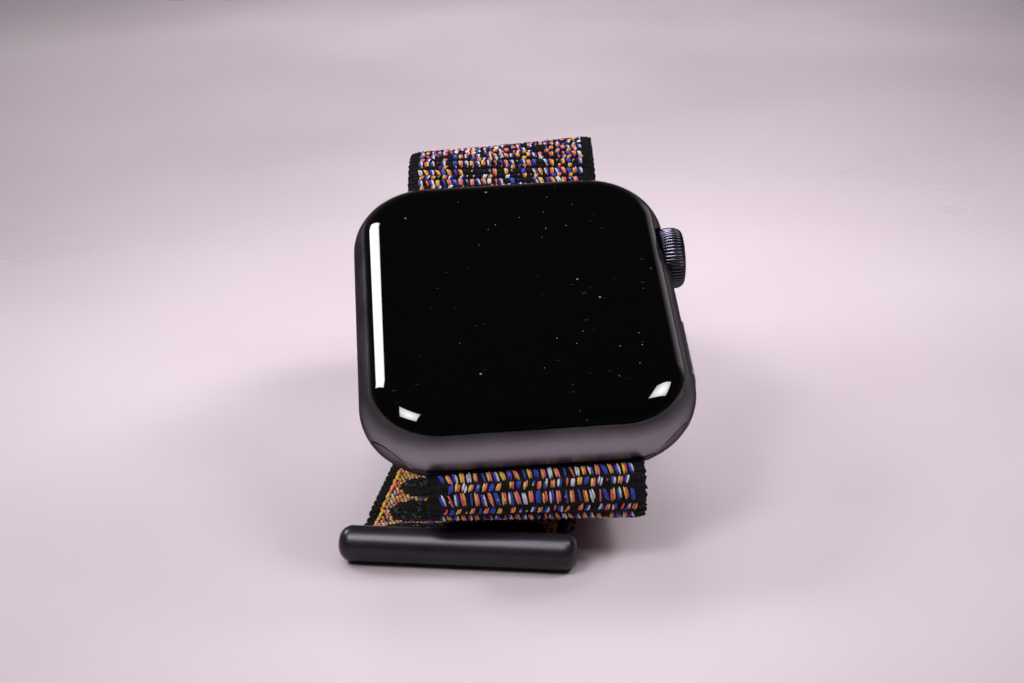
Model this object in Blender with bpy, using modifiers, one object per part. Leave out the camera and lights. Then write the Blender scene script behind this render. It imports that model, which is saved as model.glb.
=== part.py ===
"""A wrist watch with a glass front, a turning crown and a two-piece woven band.

The case leans back on its band: the long strap leaves the twelve o'clock end, loops down behind the case and runs
forward along the table to its end bar, and the short strap folds under the case from the six o'clock end.

Lengths are in metres and +Z is up. The table is the plane z = 0 below the middle of the case. The case's own pieces
are laid out in the case's frame: X to three o'clock, Y to twelve o'clock, Z out of the glass.
"""
import math

import bmesh
import bpy
from mathutils import Matrix, Vector

MM = 0.001

# Case
CASE_WIDTH = 38.0 * MM
CASE_LENGTH = 44.0 * MM
CASE_CORNER = 9.2 * MM
CASE_EDGE = 4.8 * MM  # half the case's thickness, and the radius of its rounded flank
CASE_TILT = math.radians(23.0)
CASE_LIFT = 21.0 * MM  # height of the case's middle above the table
SIDE_WALL = 2.6 * MM
END_WALL = 5.2 * MM
CAVITY_CORNER = 4.0 * MM
SEAM_HEIGHT = 3.3 * MM  # where glass meets metal, above the case's middle
FLOOR = 1.2 * MM
FIT = 0.1 * MM  # clearance between pieces that touch
SLIDE_FIT = 0.2 * MM  # clearance round pieces that move

# Display
PANEL_THICKNESS = 0.55 * MM
BRACKET_THICKNESS = 0.2 * MM
GASKET_WIDTH = 0.6 * MM
GASKET_THICKNESS = 0.2 * MM
GLASS_RIM = 1.8 * MM  # from the case's outline in to the gasket's outer edge

# Back and sensors
CRYSTAL_RADIUS = 14.5 * MM
CRYSTAL_FLANGE = 0.4 * MM
CRYSTAL_DOME = 1.35 * MM
CRYSTAL_FLAT = 5.0 * MM  # radius of the flat spot in the middle of the dome
BACK_HOLE_RADIUS = 12.4 * MM
BACK_GASKET_THICKNESS = 0.25 * MM
LED_SIZE = (2.0 * MM, 1.6 * MM, 0.4 * MM)
LED_SPACING = 3.4 * MM
SENSOR_RADIUS = 6.5 * MM
SENSOR_THICKNESS = 0.4 * MM
COIL_INNER = 7.4 * MM
COIL_THICKNESS = 0.65 * MM
SHIELD_THICKNESS = 0.25 * MM

# Inner works
BOARD_THICKNESS = 0.7 * MM
BOARD_EDGE = 0.5 * MM  # from the cavity's wall to the board's edge
WORKS_GAP = 1.0 * MM  # between the larger pieces on the board
FLEX_GAP = 1.8 * MM  # between battery and haptic motor, where the display's flex runs
BATTERY_THICKNESS = 3.2 * MM
BATTERY_END_GAP = 1.3 * MM  # from the cavity's twelve o'clock wall
BATTERY_EDGE = 0.6 * MM
HAPTIC_SIZE = (22.0 * MM, 8.6 * MM, 3.2 * MM)
HAPTIC_END_GAP = 0.9 * MM  # from the cavity's six o'clock wall
HAPTIC_EDGE = 0.5 * MM
SPEAKER_SIZE = (4.2 * MM, 16.0 * MM, 3.0 * MM)
SPEAKER_END_GAP = 4.8 * MM  # from the cavity's twelve o'clock wall
SPEAKER_EDGE = 0.4 * MM
MESH_THICKNESS = 0.2 * MM
SOUND_SLOT = (5.0 * MM, 1.0 * MM)
SOUND_SLOT_SPACING = 7.0 * MM
SOUND_SLOT_HEIGHT = -0.4 * MM  # from the case's middle
MICROPHONE_SIZE = (2.6 * MM, 3.0 * MM, 1.1 * MM)
MICROPHONE_EDGE = 0.2 * MM
ANTENNA_WIDTH = 0.8 * MM
ANTENNA_THICKNESS = 0.3 * MM
FLEX_SIZE = (6.0 * MM, 0.3 * MM)
SCREW_INSET = 2.2 * MM  # from the cavity's walls to the screws' axes
SCREW_HEAD_RADIUS = 0.85 * MM
SCREW_HEAD = 0.5 * MM
SCREW_SHANK_RADIUS = 0.45 * MM

# Crown
CROWN_FROM_END = 13.0 * MM  # from the case's twelve o'clock end to the crown's axis
CROWN_RADIUS = 3.6 * MM
CROWN_HEIGHT = 2.7 * MM
CROWN_PROUD = 1.7 * MM  # how far the crown stands out of the flank
CROWN_EDGE = 0.35 * MM
CROWN_CAP_RADIUS = 2.5 * MM
CROWN_CAP_THICKNESS = 0.3 * MM
CROWN_TRAVEL = 0.3 * MM
STEM_RADIUS = 1.0 * MM
STEM_GRIP = 1.2 * MM  # length of stem inside the knob
STEM_LENGTH = 6.6 * MM
BUSH_WALL = 0.7 * MM
BUSH_LENGTH = 1.9 * MM
SEAL_THICKNESS = 0.5 * MM
CROWN_SWITCH_SIZE = (1.4 * MM, 3.0 * MM, 3.0 * MM)
ENCODER_SIZE = (2.2 * MM, 5.0 * MM, 0.5 * MM)

# Side button
BUTTON_FROM_END = 14.5 * MM  # from the case's six o'clock end to the button's middle
BUTTON_LENGTH = 10.0 * MM
BUTTON_WIDTH = 2.8 * MM
BUTTON_THICKNESS = 1.1 * MM
BUTTON_PROUD = 0.15 * MM
BUTTON_TRAVEL = 0.3 * MM
PLUNGER_RADIUS = 0.8 * MM
PLUNGER_LENGTH = 3.0 * MM
BUTTON_SWITCH_SIZE = (1.4 * MM, 3.0 * MM, 2.4 * MM)
BUTTON_BRACKET_SIZE = (0.5 * MM, 7.0 * MM, 3.0 * MM)

# Band fittings
SLOT_DEPTH = 2.3 * MM  # from the case's end in to the middle of the lug
SLOT_HEIGHT = -1.8 * MM  # the lug's middle, from the case's middle
SLOT_MOUTH = 1.8 * MM
LUG_RADIUS = 1.4 * MM
LUG_INSET = 0.6 * MM  # how far the lug's ends stay inside the case's outline
LUG_NECK = 1.3 * MM
DETENT_RADIUS = 0.7 * MM
DETENT_LENGTH = 1.2 * MM
RELEASE_TRAVEL = 0.35 * MM
RELEASE_LENGTH = 4.4 * MM
RELEASE_WIDTH = 1.6 * MM
RELEASE_HEIGHT = 0.35 * MM

# Band
STRAP_WIDTH = 24.0 * MM
STRAP_THICKNESS = 2.0 * MM
STRAP_ROOT = 1.5 * MM  # thickness where a strap meets its lug or bar
SELVAGE = 1.4 * MM
SELVAGE_THICKNESS = 1.2 * MM
TAPER_LENGTH = 2.5 * MM  # over which the root thickens
LONG_STRAIGHT = 6.4 * MM
LOOP_RADIUS = 14.0 * MM
SHORT_STRAIGHT = 0.6 * MM
FOLD_RADIUS = 1.9 * MM
FOLD_SLOPE = math.radians(15.0)
LANDING_RADIUS = 20.0 * MM
SHORT_LANDED = 20.0 * MM  # length of the short strap that lies flat on the long one
PATCH_THICKNESS = 0.6 * MM
PATCH_LENGTH = 16.0 * MM
PATCH_WIDTH = 19.0 * MM
BAR_RADIUS = 2.05 * MM
BAR_LENGTH = 26.8 * MM
BAR_EDGE = 0.8 * MM  # radius round the bar's ends
BAR_PLACE = (-9.0 * MM, -19.7 * MM)
BAR_YAW = math.radians(-13.1)
BAR_SLOT = 1.5 * MM  # how far the strap reaches into the bar
BAR_RISE = 6.0 * MM  # length over which the strap rises to the bar

CORNER_STEPS = 7
FLANK_STEPS = 10
ARC_STEPS = 12
ROUND_STEPS = 32
LUG_STEPS = 20

parts = None
cutters = None
case_frame = None


def clear_scene():
    """Empties the scene, so that the script can be run again."""
    for old in list(bpy.data.objects):
        bpy.data.objects.remove(old, do_unlink=True)
    for old in list(bpy.data.collections):
        bpy.data.collections.remove(old)


def new_collection(name):
    """A new collection in the scene."""
    made = bpy.data.collections.new(name)
    bpy.context.scene.collection.children.link(made)
    return made


def finish(name, colour, roughness, metallic=0.0):
    """A plain material."""
    made = bpy.data.materials.new(name)
    made.use_nodes = True
    shader = made.node_tree.nodes["Principled BSDF"]
    shader.inputs["Base Color"].default_value = (*colour, 1.0)
    shader.inputs["Roughness"].default_value = roughness
    shader.inputs["Metallic"].default_value = metallic
    return made


def as_cutter(made):
    """Marks an object as a cutting tool."""
    for owner in list(made.users_collection):
        owner.objects.unlink(made)
    cutters.objects.link(made)
    made.hide_render = True
    made.display_type = "WIRE"
    return made


def add(name, mesh, material=None, place=(0, 0, 0), turn=(0, 0, 0), parent=True):
    """Puts a mesh in the model, in the case's frame unless parent is False."""
    made = bpy.data.objects.new(name, mesh)
    parts.objects.link(made)
    made.location = place
    made.rotation_euler = turn
    if parent:
        made.parent = case_frame
    if material:
        made.data.materials.append(material)
    return made


def smooth(made, angle=35.0):
    """Shades an object smooth, with its sharp edges kept."""
    made.data.shade_smooth()
    made.data.set_sharp_from_angle(angle=math.radians(angle))
    return made


def rounded_outline(width, length, corner):
    """Points round a rectangle with round corners."""
    points = []
    half_x = width / 2 - corner
    half_y = length / 2 - corner
    for quarter, (sx, sy) in enumerate(((1, 1), (-1, 1), (-1, -1), (1, -1))):
        for step in range(CORNER_STEPS + 1):
            angle = math.pi / 2 * (quarter + step / CORNER_STEPS)
            x = sx * half_x + corner * math.cos(angle)
            y = sy * half_y + corner * math.sin(angle)
            points.append((x, y))
    return points


def curve_mesh(name, curve):
    """The mesh of a curve, with its caps joined to its sides."""
    holder = bpy.data.objects.new(name, curve)
    parts.objects.link(holder)
    bpy.context.view_layer.update()
    seen = holder.evaluated_get(bpy.context.evaluated_depsgraph_get())
    mesh = bpy.data.meshes.new_from_object(seen)
    bpy.data.objects.remove(holder)
    work = bmesh.new()
    work.from_mesh(mesh)
    bmesh.ops.remove_doubles(work, verts=work.verts, dist=1e-6)
    bmesh.ops.recalc_face_normals(work, faces=work.faces)
    work.to_mesh(mesh)
    work.free()
    mesh.name = name
    return mesh


def plate_mesh(name, outlines, thickness, edge=0.0):
    """A flat plate of closed outlines, holes after the rim, with an optional rounded edge."""
    curve = bpy.data.curves.new(name, "CURVE")
    curve.dimensions = "2D"
    curve.fill_mode = "BOTH"
    curve.extrude = thickness / 2 - edge
    curve.bevel_depth = edge
    curve.bevel_resolution = FLANK_STEPS // 2 - 1
    for outline in outlines:
        spline = curve.splines.new("POLY")
        spline.points.add(len(outline) - 1)
        for point, (x, y) in zip(spline.points, outline):
            point.co = (x, y, 0.0, 1.0)
        spline.use_cyclic_u = True
    return curve_mesh(name, curve)


def plate(name, outlines, low, high, material=None, centre=(0.0, 0.0)):
    """A flat plate between two heights of the case's frame."""
    mesh = plate_mesh(name, outlines, high - low)
    return add(name, mesh, material, (*centre, (low + high) / 2))


def side_plate(name, length, width, low, high, material, along, height=0.0):
    """A round-ended plate that lies in the three o'clock flank, between two distances from the case's middle."""
    corner = min(length, width) / 2 * 0.999
    mesh = plate_mesh(name, [rounded_outline(width, length, corner)], high - low)
    return add(name, mesh, material, ((low + high) / 2, along, height), TO_FLANK)


def box(name, size, centre, material=None, edge=0.0):
    """A block, with rounded edges where an edge radius is given."""
    work = bmesh.new()
    bmesh.ops.create_cube(work, size=1.0)
    bmesh.ops.scale(work, vec=Vector(size), verts=work.verts)
    mesh = bpy.data.meshes.new(name)
    work.to_mesh(mesh)
    work.free()
    made = add(name, mesh, material, centre)
    if edge:
        bevel = made.modifiers.new("edges", "BEVEL")
        bevel.width = edge
        bevel.segments = 2
        smooth(made)
    return made


def rod(name, radius, length, centre, turn=(0, 0, 0), material=None, steps=ROUND_STEPS):
    """A round bar about its own Z axis."""
    work = bmesh.new()
    bmesh.ops.create_cone(
        work, cap_ends=True, segments=steps, radius1=radius, radius2=radius, depth=length
    )
    mesh = bpy.data.meshes.new(name)
    work.to_mesh(mesh)
    work.free()
    return smooth(add(name, mesh, material, centre, turn))


def turned(name, profile, place=(0, 0, 0), turn=(0, 0, 0), material=None, closed=False):
    """A turned piece: a profile of radius and height, top to bottom, swept round its Z axis."""
    work = bmesh.new()
    points = [work.verts.new((radius, 0.0, height)) for radius, height in profile]
    for first, second in zip(points, points[1:]):
        work.edges.new((first, second))
    if closed:
        work.edges.new((points[-1], points[0]))
    mesh = bpy.data.meshes.new(name)
    work.to_mesh(mesh)
    work.free()
    made = add(name, mesh, material, place, turn)
    screw = made.modifiers.new("turn", "SCREW")
    screw.steps = ROUND_STEPS
    screw.render_steps = ROUND_STEPS
    screw.use_merge_vertices = True
    screw.merge_threshold = 0.000001
    return made


def ring(name, inner, outer, low, high, material, place=(0, 0, 0), turn=(0, 0, 0)):
    """A flat ring about its Z axis."""
    profile = [(inner, high), (outer, high), (outer, low), (inner, low)]
    return turned(name, profile, place, turn, material, closed=True)


def disc(name, radius, low, high, material, place=(0, 0, 0), turn=(0, 0, 0)):
    """A flat disc about its Z axis."""
    profile = [(0.0, high), (radius, high), (radius, low), (0.0, low)]
    return turned(name, profile, place, turn, material)


def cut(made, tool, operation="DIFFERENCE", solver="EXACT"):
    """Cuts one object with another, or joins or trims it."""
    step = made.modifiers.new(tool.name, "BOOLEAN")
    step.operation = operation
    step.object = tool
    step.solver = solver
    as_cutter(tool)


# Sizes that follow from the ones above
SEAM_GLASS = SEAM_HEIGHT + FIT
FLOOR_TOP = -CASE_EDGE + FLOOR
CAVITY_WIDTH = CASE_WIDTH - 2 * SIDE_WALL
CAVITY_LENGTH = CASE_LENGTH - 2 * END_WALL
CAVITY_SIDE = CAVITY_WIDTH / 2
CAVITY_END = CAVITY_LENGTH / 2
CROWN_PLACE = CASE_LENGTH / 2 - CROWN_FROM_END
BUTTON_PLACE = BUTTON_FROM_END - CASE_LENGTH / 2
SCREW_X = CAVITY_SIDE - SCREW_INSET
SCREW_Y = CAVITY_END - SCREW_INSET
SPEAKER_PLACE = CAVITY_END - SPEAKER_END_GAP - SPEAKER_SIZE[1] / 2
MESH_OUTER = -CAVITY_SIDE + FIT
SPEAKER_LOW = MESH_OUTER + MESH_THICKNESS + FIT
REACH = 2 * CASE_LENGTH  # longer than anything that is cut
FLANK = CASE_WIDTH / 2
LUG_Y = CASE_LENGTH / 2 - SLOT_DEPTH
SLOT_RADIUS = LUG_RADIUS + SLIDE_FIT
FLANGE_LOW = -CASE_EDGE - FIT / 2
FLANGE_HIGH = FLANGE_LOW + CRYSTAL_FLANGE
BACK_SEAT = FLANGE_HIGH + BACK_GASKET_THICKNESS + 2 * FIT
CRYSTAL_TOP = BACK_SEAT
LED_LOW = CRYSTAL_TOP + FIT
SENSOR_LOW = LED_LOW + LED_SIZE[2] + FIT
SENSOR_HIGH = SENSOR_LOW + SENSOR_THICKNESS
COIL_HIGH = LED_LOW + COIL_THICKNESS
SHIELD_HIGH = COIL_HIGH + FIT + SHIELD_THICKNESS
BOARD_LOW = max(SENSOR_HIGH, SHIELD_HIGH) + 2 * FIT
BOARD_HIGH = BOARD_LOW + BOARD_THICKNESS
WORKS_LOW = BOARD_HIGH + FIT
PANEL_HIGH = SEAM_HEIGHT - FIT
PANEL_LOW = PANEL_HIGH - PANEL_THICKNESS
BRACKET_HIGH = PANEL_LOW - FIT
BRACKET_LOW = BRACKET_HIGH - BRACKET_THICKNESS
ANTENNA_HIGH = BRACKET_LOW - FIT
ANTENNA_LOW = ANTENNA_HIGH - ANTENNA_THICKNESS
CROWN_FACE = FLANK + CROWN_PROUD
CROWN_INNER = CROWN_FACE - CROWN_HEIGHT
CROWN_POCKET = CROWN_INNER - CROWN_TRAVEL - FIT
CAP_SEAT = CROWN_FACE - CROWN_CAP_THICKNESS - FIT / 2
STEM_OUTER = CROWN_INNER + STEM_GRIP
STEM_INNER = STEM_OUTER - STEM_LENGTH
BUSH_OUTER = CROWN_POCKET - FIT
BUSH_INNER = BUSH_OUTER - BUSH_LENGTH
SEAL_OUTER = BUSH_INNER - FIT
STEM_BORE = STEM_RADIUS + FIT
BUSH_RADIUS = STEM_BORE + BUSH_WALL
CROWN_SWITCH_OUTER = STEM_INNER - CROWN_TRAVEL - FIT
CROWN_SWITCH_INNER = CROWN_SWITCH_OUTER - CROWN_SWITCH_SIZE[0]
BUTTON_FACE = FLANK + BUTTON_PROUD
BUTTON_INNER = BUTTON_FACE - BUTTON_THICKNESS
BUTTON_POCKET = BUTTON_INNER - BUTTON_TRAVEL - FIT
PLUNGER_OUTER = BUTTON_INNER - FIT / 2
PLUNGER_INNER = PLUNGER_OUTER - PLUNGER_LENGTH
BUTTON_SWITCH_OUTER = PLUNGER_INNER - BUTTON_TRAVEL - FIT
BUTTON_SWITCH_INNER = BUTTON_SWITCH_OUTER - BUTTON_SWITCH_SIZE[0]
NECK_END = CASE_LENGTH / 2 - FIT / 2
STRAP_START = CASE_LENGTH / 2 + FIT
TO_FLANK = (0, math.pi / 2, 0)  # turns a piece's Z axis to three o'clock
LONG_STRAP_TOP = STRAP_THICKNESS
PATCH_LOW = LONG_STRAP_TOP + FIT
PATCH_HIGH = PATCH_LOW + PATCH_THICKNESS
SHORT_STRAP_MIDDLE = PATCH_HIGH + FIT + STRAP_THICKNESS / 2


def case_block(name, low, high, material=None):
    """The case's full rounded shape, trimmed to what lies between two heights."""
    outline = rounded_outline(
        CASE_WIDTH - 2 * CASE_EDGE, CASE_LENGTH - 2 * CASE_EDGE, CASE_CORNER - CASE_EDGE
    )
    mesh = plate_mesh(name, [outline], 2 * CASE_EDGE, CASE_EDGE)
    made = add(name, mesh, material)
    middle = (0, 0, (low + high) / 2)
    keep = box(name + "_keep", (REACH, REACH, high - low), middle)
    cut(made, keep, "INTERSECT")
    return smooth(made, 50.0)


def cavity_outline(inset):
    """The cavity's outline, drawn in by an inset."""
    corner = CAVITY_CORNER - inset
    return rounded_outline(CAVITY_WIDTH - 2 * inset, CAVITY_LENGTH - 2 * inset, corner)


def rim_outline(inset):
    """The case's outline, drawn in by an inset."""
    return rounded_outline(CASE_WIDTH - 2 * inset, CASE_LENGTH - 2 * inset, CASE_CORNER - inset)


def make_case(metal):
    """The metal case with its cavity, pockets and band slots."""
    case = case_block("case_body", -2 * CASE_EDGE, SEAM_HEIGHT, metal)

    def carve(tool):
        """Takes a tool's shape out of the case. Its many crossing cuts stay closed only with this solver."""
        cut(case, tool, solver="MANIFOLD")

    carve(plate("cavity_tool", [cavity_outline(0)], FLOOR_TOP, REACH))
    rebate = SEAM_HEIGHT - GASKET_THICKNESS - FIT / 2
    carve(plate("rebate_tool", [rim_outline(GLASS_RIM - FIT)], rebate, REACH))
    carve(disc("back_hole_tool", BACK_HOLE_RADIUS, -REACH, 0, None))
    carve(disc("back_seat_tool", CRYSTAL_RADIUS + FIT, -REACH, BACK_SEAT, None))
    flank_hole = (0, CROWN_PLACE, 0)
    carve(disc("crown_pocket_tool", CROWN_RADIUS + SLIDE_FIT, CROWN_POCKET, REACH, None, flank_hole, TO_FLANK))
    carve(disc("crown_hole_tool", BUSH_RADIUS + FIT, 0, REACH, None, flank_hole, TO_FLANK))
    pocket = (BUTTON_LENGTH + 2 * SLIDE_FIT, BUTTON_WIDTH + 2 * SLIDE_FIT)
    carve(side_plate("button_pocket_tool", *pocket, BUTTON_POCKET, REACH, None, BUTTON_PLACE))
    button_hole = (0, BUTTON_PLACE, 0)
    carve(disc("button_hole_tool", PLUNGER_RADIUS + SLIDE_FIT, 0, REACH, None, button_hole, TO_FLANK))
    for index, side in enumerate((-1, 1)):
        along = SPEAKER_PLACE + side * SOUND_SLOT_SPACING / 2
        inner = MESH_OUTER + WORKS_GAP
        tool = side_plate(f"sound_tool_{index}", *SOUND_SLOT, -REACH, inner, None, along, SOUND_SLOT_HEIGHT)
        carve(tool)
    for name, end in (("12", 1), ("6", -1)):
        slot = rod("slot_tool_" + name, SLOT_RADIUS, REACH, (0, end * LUG_Y, SLOT_HEIGHT), TO_FLANK)
        carve(slot)
        mouth_middle = (0, end * (LUG_Y + SLOT_DEPTH), SLOT_HEIGHT)
        carve(box("mouth_tool_" + name, (REACH, 2 * SLOT_DEPTH, SLOT_MOUTH), mouth_middle))
        hole = rounded_outline(
            RELEASE_LENGTH + 2 * SLIDE_FIT, RELEASE_WIDTH + 2 * SLIDE_FIT, RELEASE_WIDTH / 2
        )
        centre = (0, end * LUG_Y)
        carve(plate("release_tool_" + name, [hole], -REACH, SLOT_HEIGHT, centre=centre))


def make_display(glass, rubber, panel, steel):
    """The front glass, its gasket, and the panel and bracket below it."""
    case_block("display_glass", SEAM_GLASS, 2 * CASE_EDGE, glass)
    top = SEAM_GLASS - FIT / 2
    gasket = [rim_outline(GLASS_RIM), rim_outline(GLASS_RIM + GASKET_WIDTH)]
    plate("display_gasket", gasket, top - GASKET_THICKNESS, top, rubber)
    plate("display_panel", [cavity_outline(3 * FIT)], PANEL_LOW, PANEL_HIGH, panel)
    plate("display_bracket", [cavity_outline(BOARD_EDGE)], BRACKET_LOW, BRACKET_HIGH, steel)


def make_back(crystal, rubber, board, copper, ferrite, lens):
    """The back crystal, its gasket, and the sensors and charging coil behind it."""
    plug = BACK_HOLE_RADIUS - FIT
    dome_low = FLANGE_LOW - CRYSTAL_DOME
    profile = [(0.0, CRYSTAL_TOP), (plug, CRYSTAL_TOP), (plug, FLANGE_HIGH)]
    profile += [(CRYSTAL_RADIUS, FLANGE_HIGH), (CRYSTAL_RADIUS, FLANGE_LOW)]
    for step in range(1, 6):
        share = step / 5
        radius = CRYSTAL_RADIUS + (CRYSTAL_FLAT - CRYSTAL_RADIUS) * share
        profile.append((radius, FLANGE_LOW + (dome_low - FLANGE_LOW) * math.sin(share * math.pi / 2)))
    profile.append((0.0, dome_low))
    smooth(turned("back_crystal", profile, material=crystal))
    low = FLANGE_HIGH + FIT
    ring("back_gasket", plug + 2 * FIT, CRYSTAL_RADIUS, low, low + BACK_GASKET_THICKNESS, rubber)
    for index, (x, y) in enumerate(((1, 0), (-1, 0))):
        place = (x * LED_SPACING, y * LED_SPACING, LED_LOW + LED_SIZE[2] / 2)
        box(f"green_led_{index + 1}", LED_SIZE, place, lens)
    for index, (x, y) in enumerate(((0, 1), (0, -1))):
        place = (x * LED_SPACING, y * LED_SPACING, LED_LOW + LED_SIZE[2] / 2)
        box(f"photodiode_{index + 1}", LED_SIZE, place, ferrite)
    disc("sensor_board", SENSOR_RADIUS, SENSOR_LOW, SENSOR_HIGH, board)
    ring("charging_coil", COIL_INNER, plug - 2 * FIT, LED_LOW, COIL_HIGH, copper)
    ring("coil_shield", COIL_INNER, plug - FIT, COIL_HIGH + FIT, SHIELD_HIGH, ferrite)


def make_works(board, battery, steel, plastic, copper, rubber):
    """The board and what stands on it."""
    main = plate("main_board", [cavity_outline(BOARD_EDGE)], BOARD_LOW, BOARD_HIGH, board)
    for index, (sx, sy) in enumerate(((1, 1), (-1, 1), (-1, -1), (1, -1))):
        x = sx * SCREW_X
        y = sy * SCREW_Y
        head = WORKS_LOW + SCREW_HEAD
        tip = FLOOR_TOP + FIT
        profile = [(0.0, head), (SCREW_HEAD_RADIUS, head), (SCREW_HEAD_RADIUS, WORKS_LOW)]
        profile += [(SCREW_SHANK_RADIUS, WORKS_LOW), (SCREW_SHANK_RADIUS, tip), (0.0, tip)]
        turned(f"board_screw_{index + 1}", profile, (x, y, 0), material=steel)
        hole = SCREW_SHANK_RADIUS + FIT
        cut(main, disc(f"board_hole_tool_{index}", hole, -REACH, REACH, None, (x, y, 0)))

    def on_board(name, size, place, material, edge=0.0):
        return box(name, size, (*place, WORKS_LOW + size[2] / 2), material, edge)

    haptic_x = -SCREW_X + SCREW_HEAD_RADIUS + 3 * FIT + HAPTIC_SIZE[0] / 2
    haptic_low = -CAVITY_END + HAPTIC_END_GAP
    haptic_high = haptic_low + HAPTIC_SIZE[1]
    on_board("haptic_motor", HAPTIC_SIZE, (haptic_x, (haptic_low + haptic_high) / 2), steel, HAPTIC_EDGE)
    speaker_high = SPEAKER_LOW + SPEAKER_SIZE[0]
    on_board("speaker", SPEAKER_SIZE, ((SPEAKER_LOW + speaker_high) / 2, SPEAKER_PLACE), plastic, SPEAKER_EDGE)
    left = speaker_high + WORKS_GAP
    right = CROWN_SWITCH_INNER - WORKS_GAP
    low = haptic_high + FLEX_GAP
    high = CAVITY_END - BATTERY_END_GAP
    battery_size = (right - left, high - low, BATTERY_THICKNESS)
    on_board("battery", battery_size, ((left + right) / 2, (low + high) / 2), battery, BATTERY_EDGE)
    mesh_size = (MESH_THICKNESS, SPEAKER_SIZE[1], SPEAKER_SIZE[2])
    on_board("speaker_mesh", mesh_size, (MESH_OUTER + MESH_THICKNESS / 2, SPEAKER_PLACE), steel)
    microphone_x = CAVITY_SIDE - FIT - MICROPHONE_SIZE[0] / 2
    between = (CROWN_PLACE + BUTTON_PLACE) / 2
    on_board("microphone", MICROPHONE_SIZE, (microphone_x, between), steel, MICROPHONE_EDGE)
    antenna = [cavity_outline(FIT), cavity_outline(FIT + ANTENNA_WIDTH)]
    plate("antenna_frame", antenna, ANTENNA_LOW, ANTENNA_HIGH, copper)
    flex_size = (*FLEX_SIZE, BRACKET_LOW - WORKS_LOW - FIT)
    on_board("display_flex", flex_size, (0, (haptic_high + low) / 2), rubber)


def make_crown(metal, dark, brass, rubber, plastic):
    """The crown's knob, cap and stem, and the pieces that guide and read it."""
    place = (0, CROWN_PLACE, 0)
    edge = CROWN_EDGE
    lip = CROWN_CAP_RADIUS + FIT
    knob = [(0.0, CAP_SEAT), (lip, CAP_SEAT), (lip, CROWN_FACE - edge / 3)]
    knob += [(CROWN_RADIUS - edge, CROWN_FACE - edge / 3), (CROWN_RADIUS, CROWN_FACE - edge - edge / 3)]
    knob += [(CROWN_RADIUS, CROWN_INNER + edge), (CROWN_RADIUS - edge, CROWN_INNER), (STEM_BORE, CROWN_INNER)]
    knob += [(STEM_BORE, STEM_OUTER + FIT), (0.0, STEM_OUTER + FIT)]
    smooth(turned("crown_knob", knob, place, TO_FLANK, metal))
    disc("crown_cap", CROWN_CAP_RADIUS, CAP_SEAT + FIT / 2, CROWN_FACE, dark, place, TO_FLANK)
    disc("crown_stem", STEM_RADIUS, STEM_INNER, STEM_OUTER, metal, place, TO_FLANK)
    ring("crown_bush", STEM_BORE, BUSH_RADIUS, BUSH_INNER, BUSH_OUTER, brass, place, TO_FLANK)
    ring("crown_seal", STEM_BORE, BUSH_RADIUS, SEAL_OUTER - SEAL_THICKNESS, SEAL_OUTER, rubber, place, TO_FLANK)
    switch_x = (CROWN_SWITCH_INNER + CROWN_SWITCH_OUTER) / 2
    box("crown_switch", CROWN_SWITCH_SIZE, (switch_x, CROWN_PLACE, WORKS_LOW + CROWN_SWITCH_SIZE[2] / 2), plastic)
    encoder_x = STEM_INNER + FIT + ENCODER_SIZE[0] / 2
    encoder_z = -STEM_RADIUS - FIT - ENCODER_SIZE[2] / 2
    box("crown_encoder", ENCODER_SIZE, (encoder_x, CROWN_PLACE, encoder_z), dark)


def make_side_button(metal, steel, plastic):
    """The side button, its plunger, its switch and the bracket behind the switch."""
    side_plate("side_button", BUTTON_LENGTH, BUTTON_WIDTH, BUTTON_INNER, BUTTON_FACE, metal, BUTTON_PLACE)
    place = (0, BUTTON_PLACE, 0)
    disc("button_plunger", PLUNGER_RADIUS, PLUNGER_INNER, PLUNGER_OUTER, steel, place, TO_FLANK)
    switch_x = (BUTTON_SWITCH_INNER + BUTTON_SWITCH_OUTER) / 2
    box("button_switch", BUTTON_SWITCH_SIZE, (switch_x, BUTTON_PLACE, 0), plastic)
    bracket_x = BUTTON_SWITCH_INNER - FIT - BUTTON_BRACKET_SIZE[0] / 2
    bracket_z = WORKS_LOW + BUTTON_BRACKET_SIZE[2] / 2
    box("button_bracket", BUTTON_BRACKET_SIZE, (bracket_x, BUTTON_PLACE, bracket_z), steel)


def make_lug(name, end, plastic, steel, metal):
    """One lug with its detent, and the release button below it in the case's back."""
    lug_low = SLOT_HEIGHT - LUG_RADIUS
    lug = rod("lug_" + name, LUG_RADIUS, REACH, (0, end * LUG_Y, SLOT_HEIGHT), TO_FLANK, plastic, LUG_STEPS)
    cut(lug, plate("lug_trim_" + name, [rim_outline(LUG_INSET)], -REACH, REACH), "INTERSECT")
    neck_middle = (0, end * (LUG_Y + NECK_END) / 2, SLOT_HEIGHT)
    cut(lug, box("neck_tool_" + name, (STRAP_WIDTH, NECK_END - LUG_Y, LUG_NECK), neck_middle), "UNION")
    place = (0, end * LUG_Y, 0)
    detent_low = lug_low + FIT / 2
    detent_high = detent_low + DETENT_LENGTH
    bore_top = detent_high + RELEASE_TRAVEL + FIT
    bore = DETENT_RADIUS + SLIDE_FIT
    cut(lug, disc("bore_tool_" + name, bore, -REACH, bore_top, None, place))
    disc("detent_" + name, DETENT_RADIUS, detent_low, detent_high, steel, place)
    tip = SLOT_HEIGHT - SLOT_RADIUS - FIT
    cap_high = tip - RELEASE_TRAVEL
    outline = rounded_outline(RELEASE_LENGTH, RELEASE_WIDTH, RELEASE_WIDTH / 2 - FIT)
    button = plate("release_button_" + name, [outline], cap_high - RELEASE_HEIGHT, cap_high, metal, place[:2])
    cut(button, disc("tip_tool_" + name, DETENT_RADIUS, cap_high - FIT, tip, None, place), "UNION")


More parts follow.
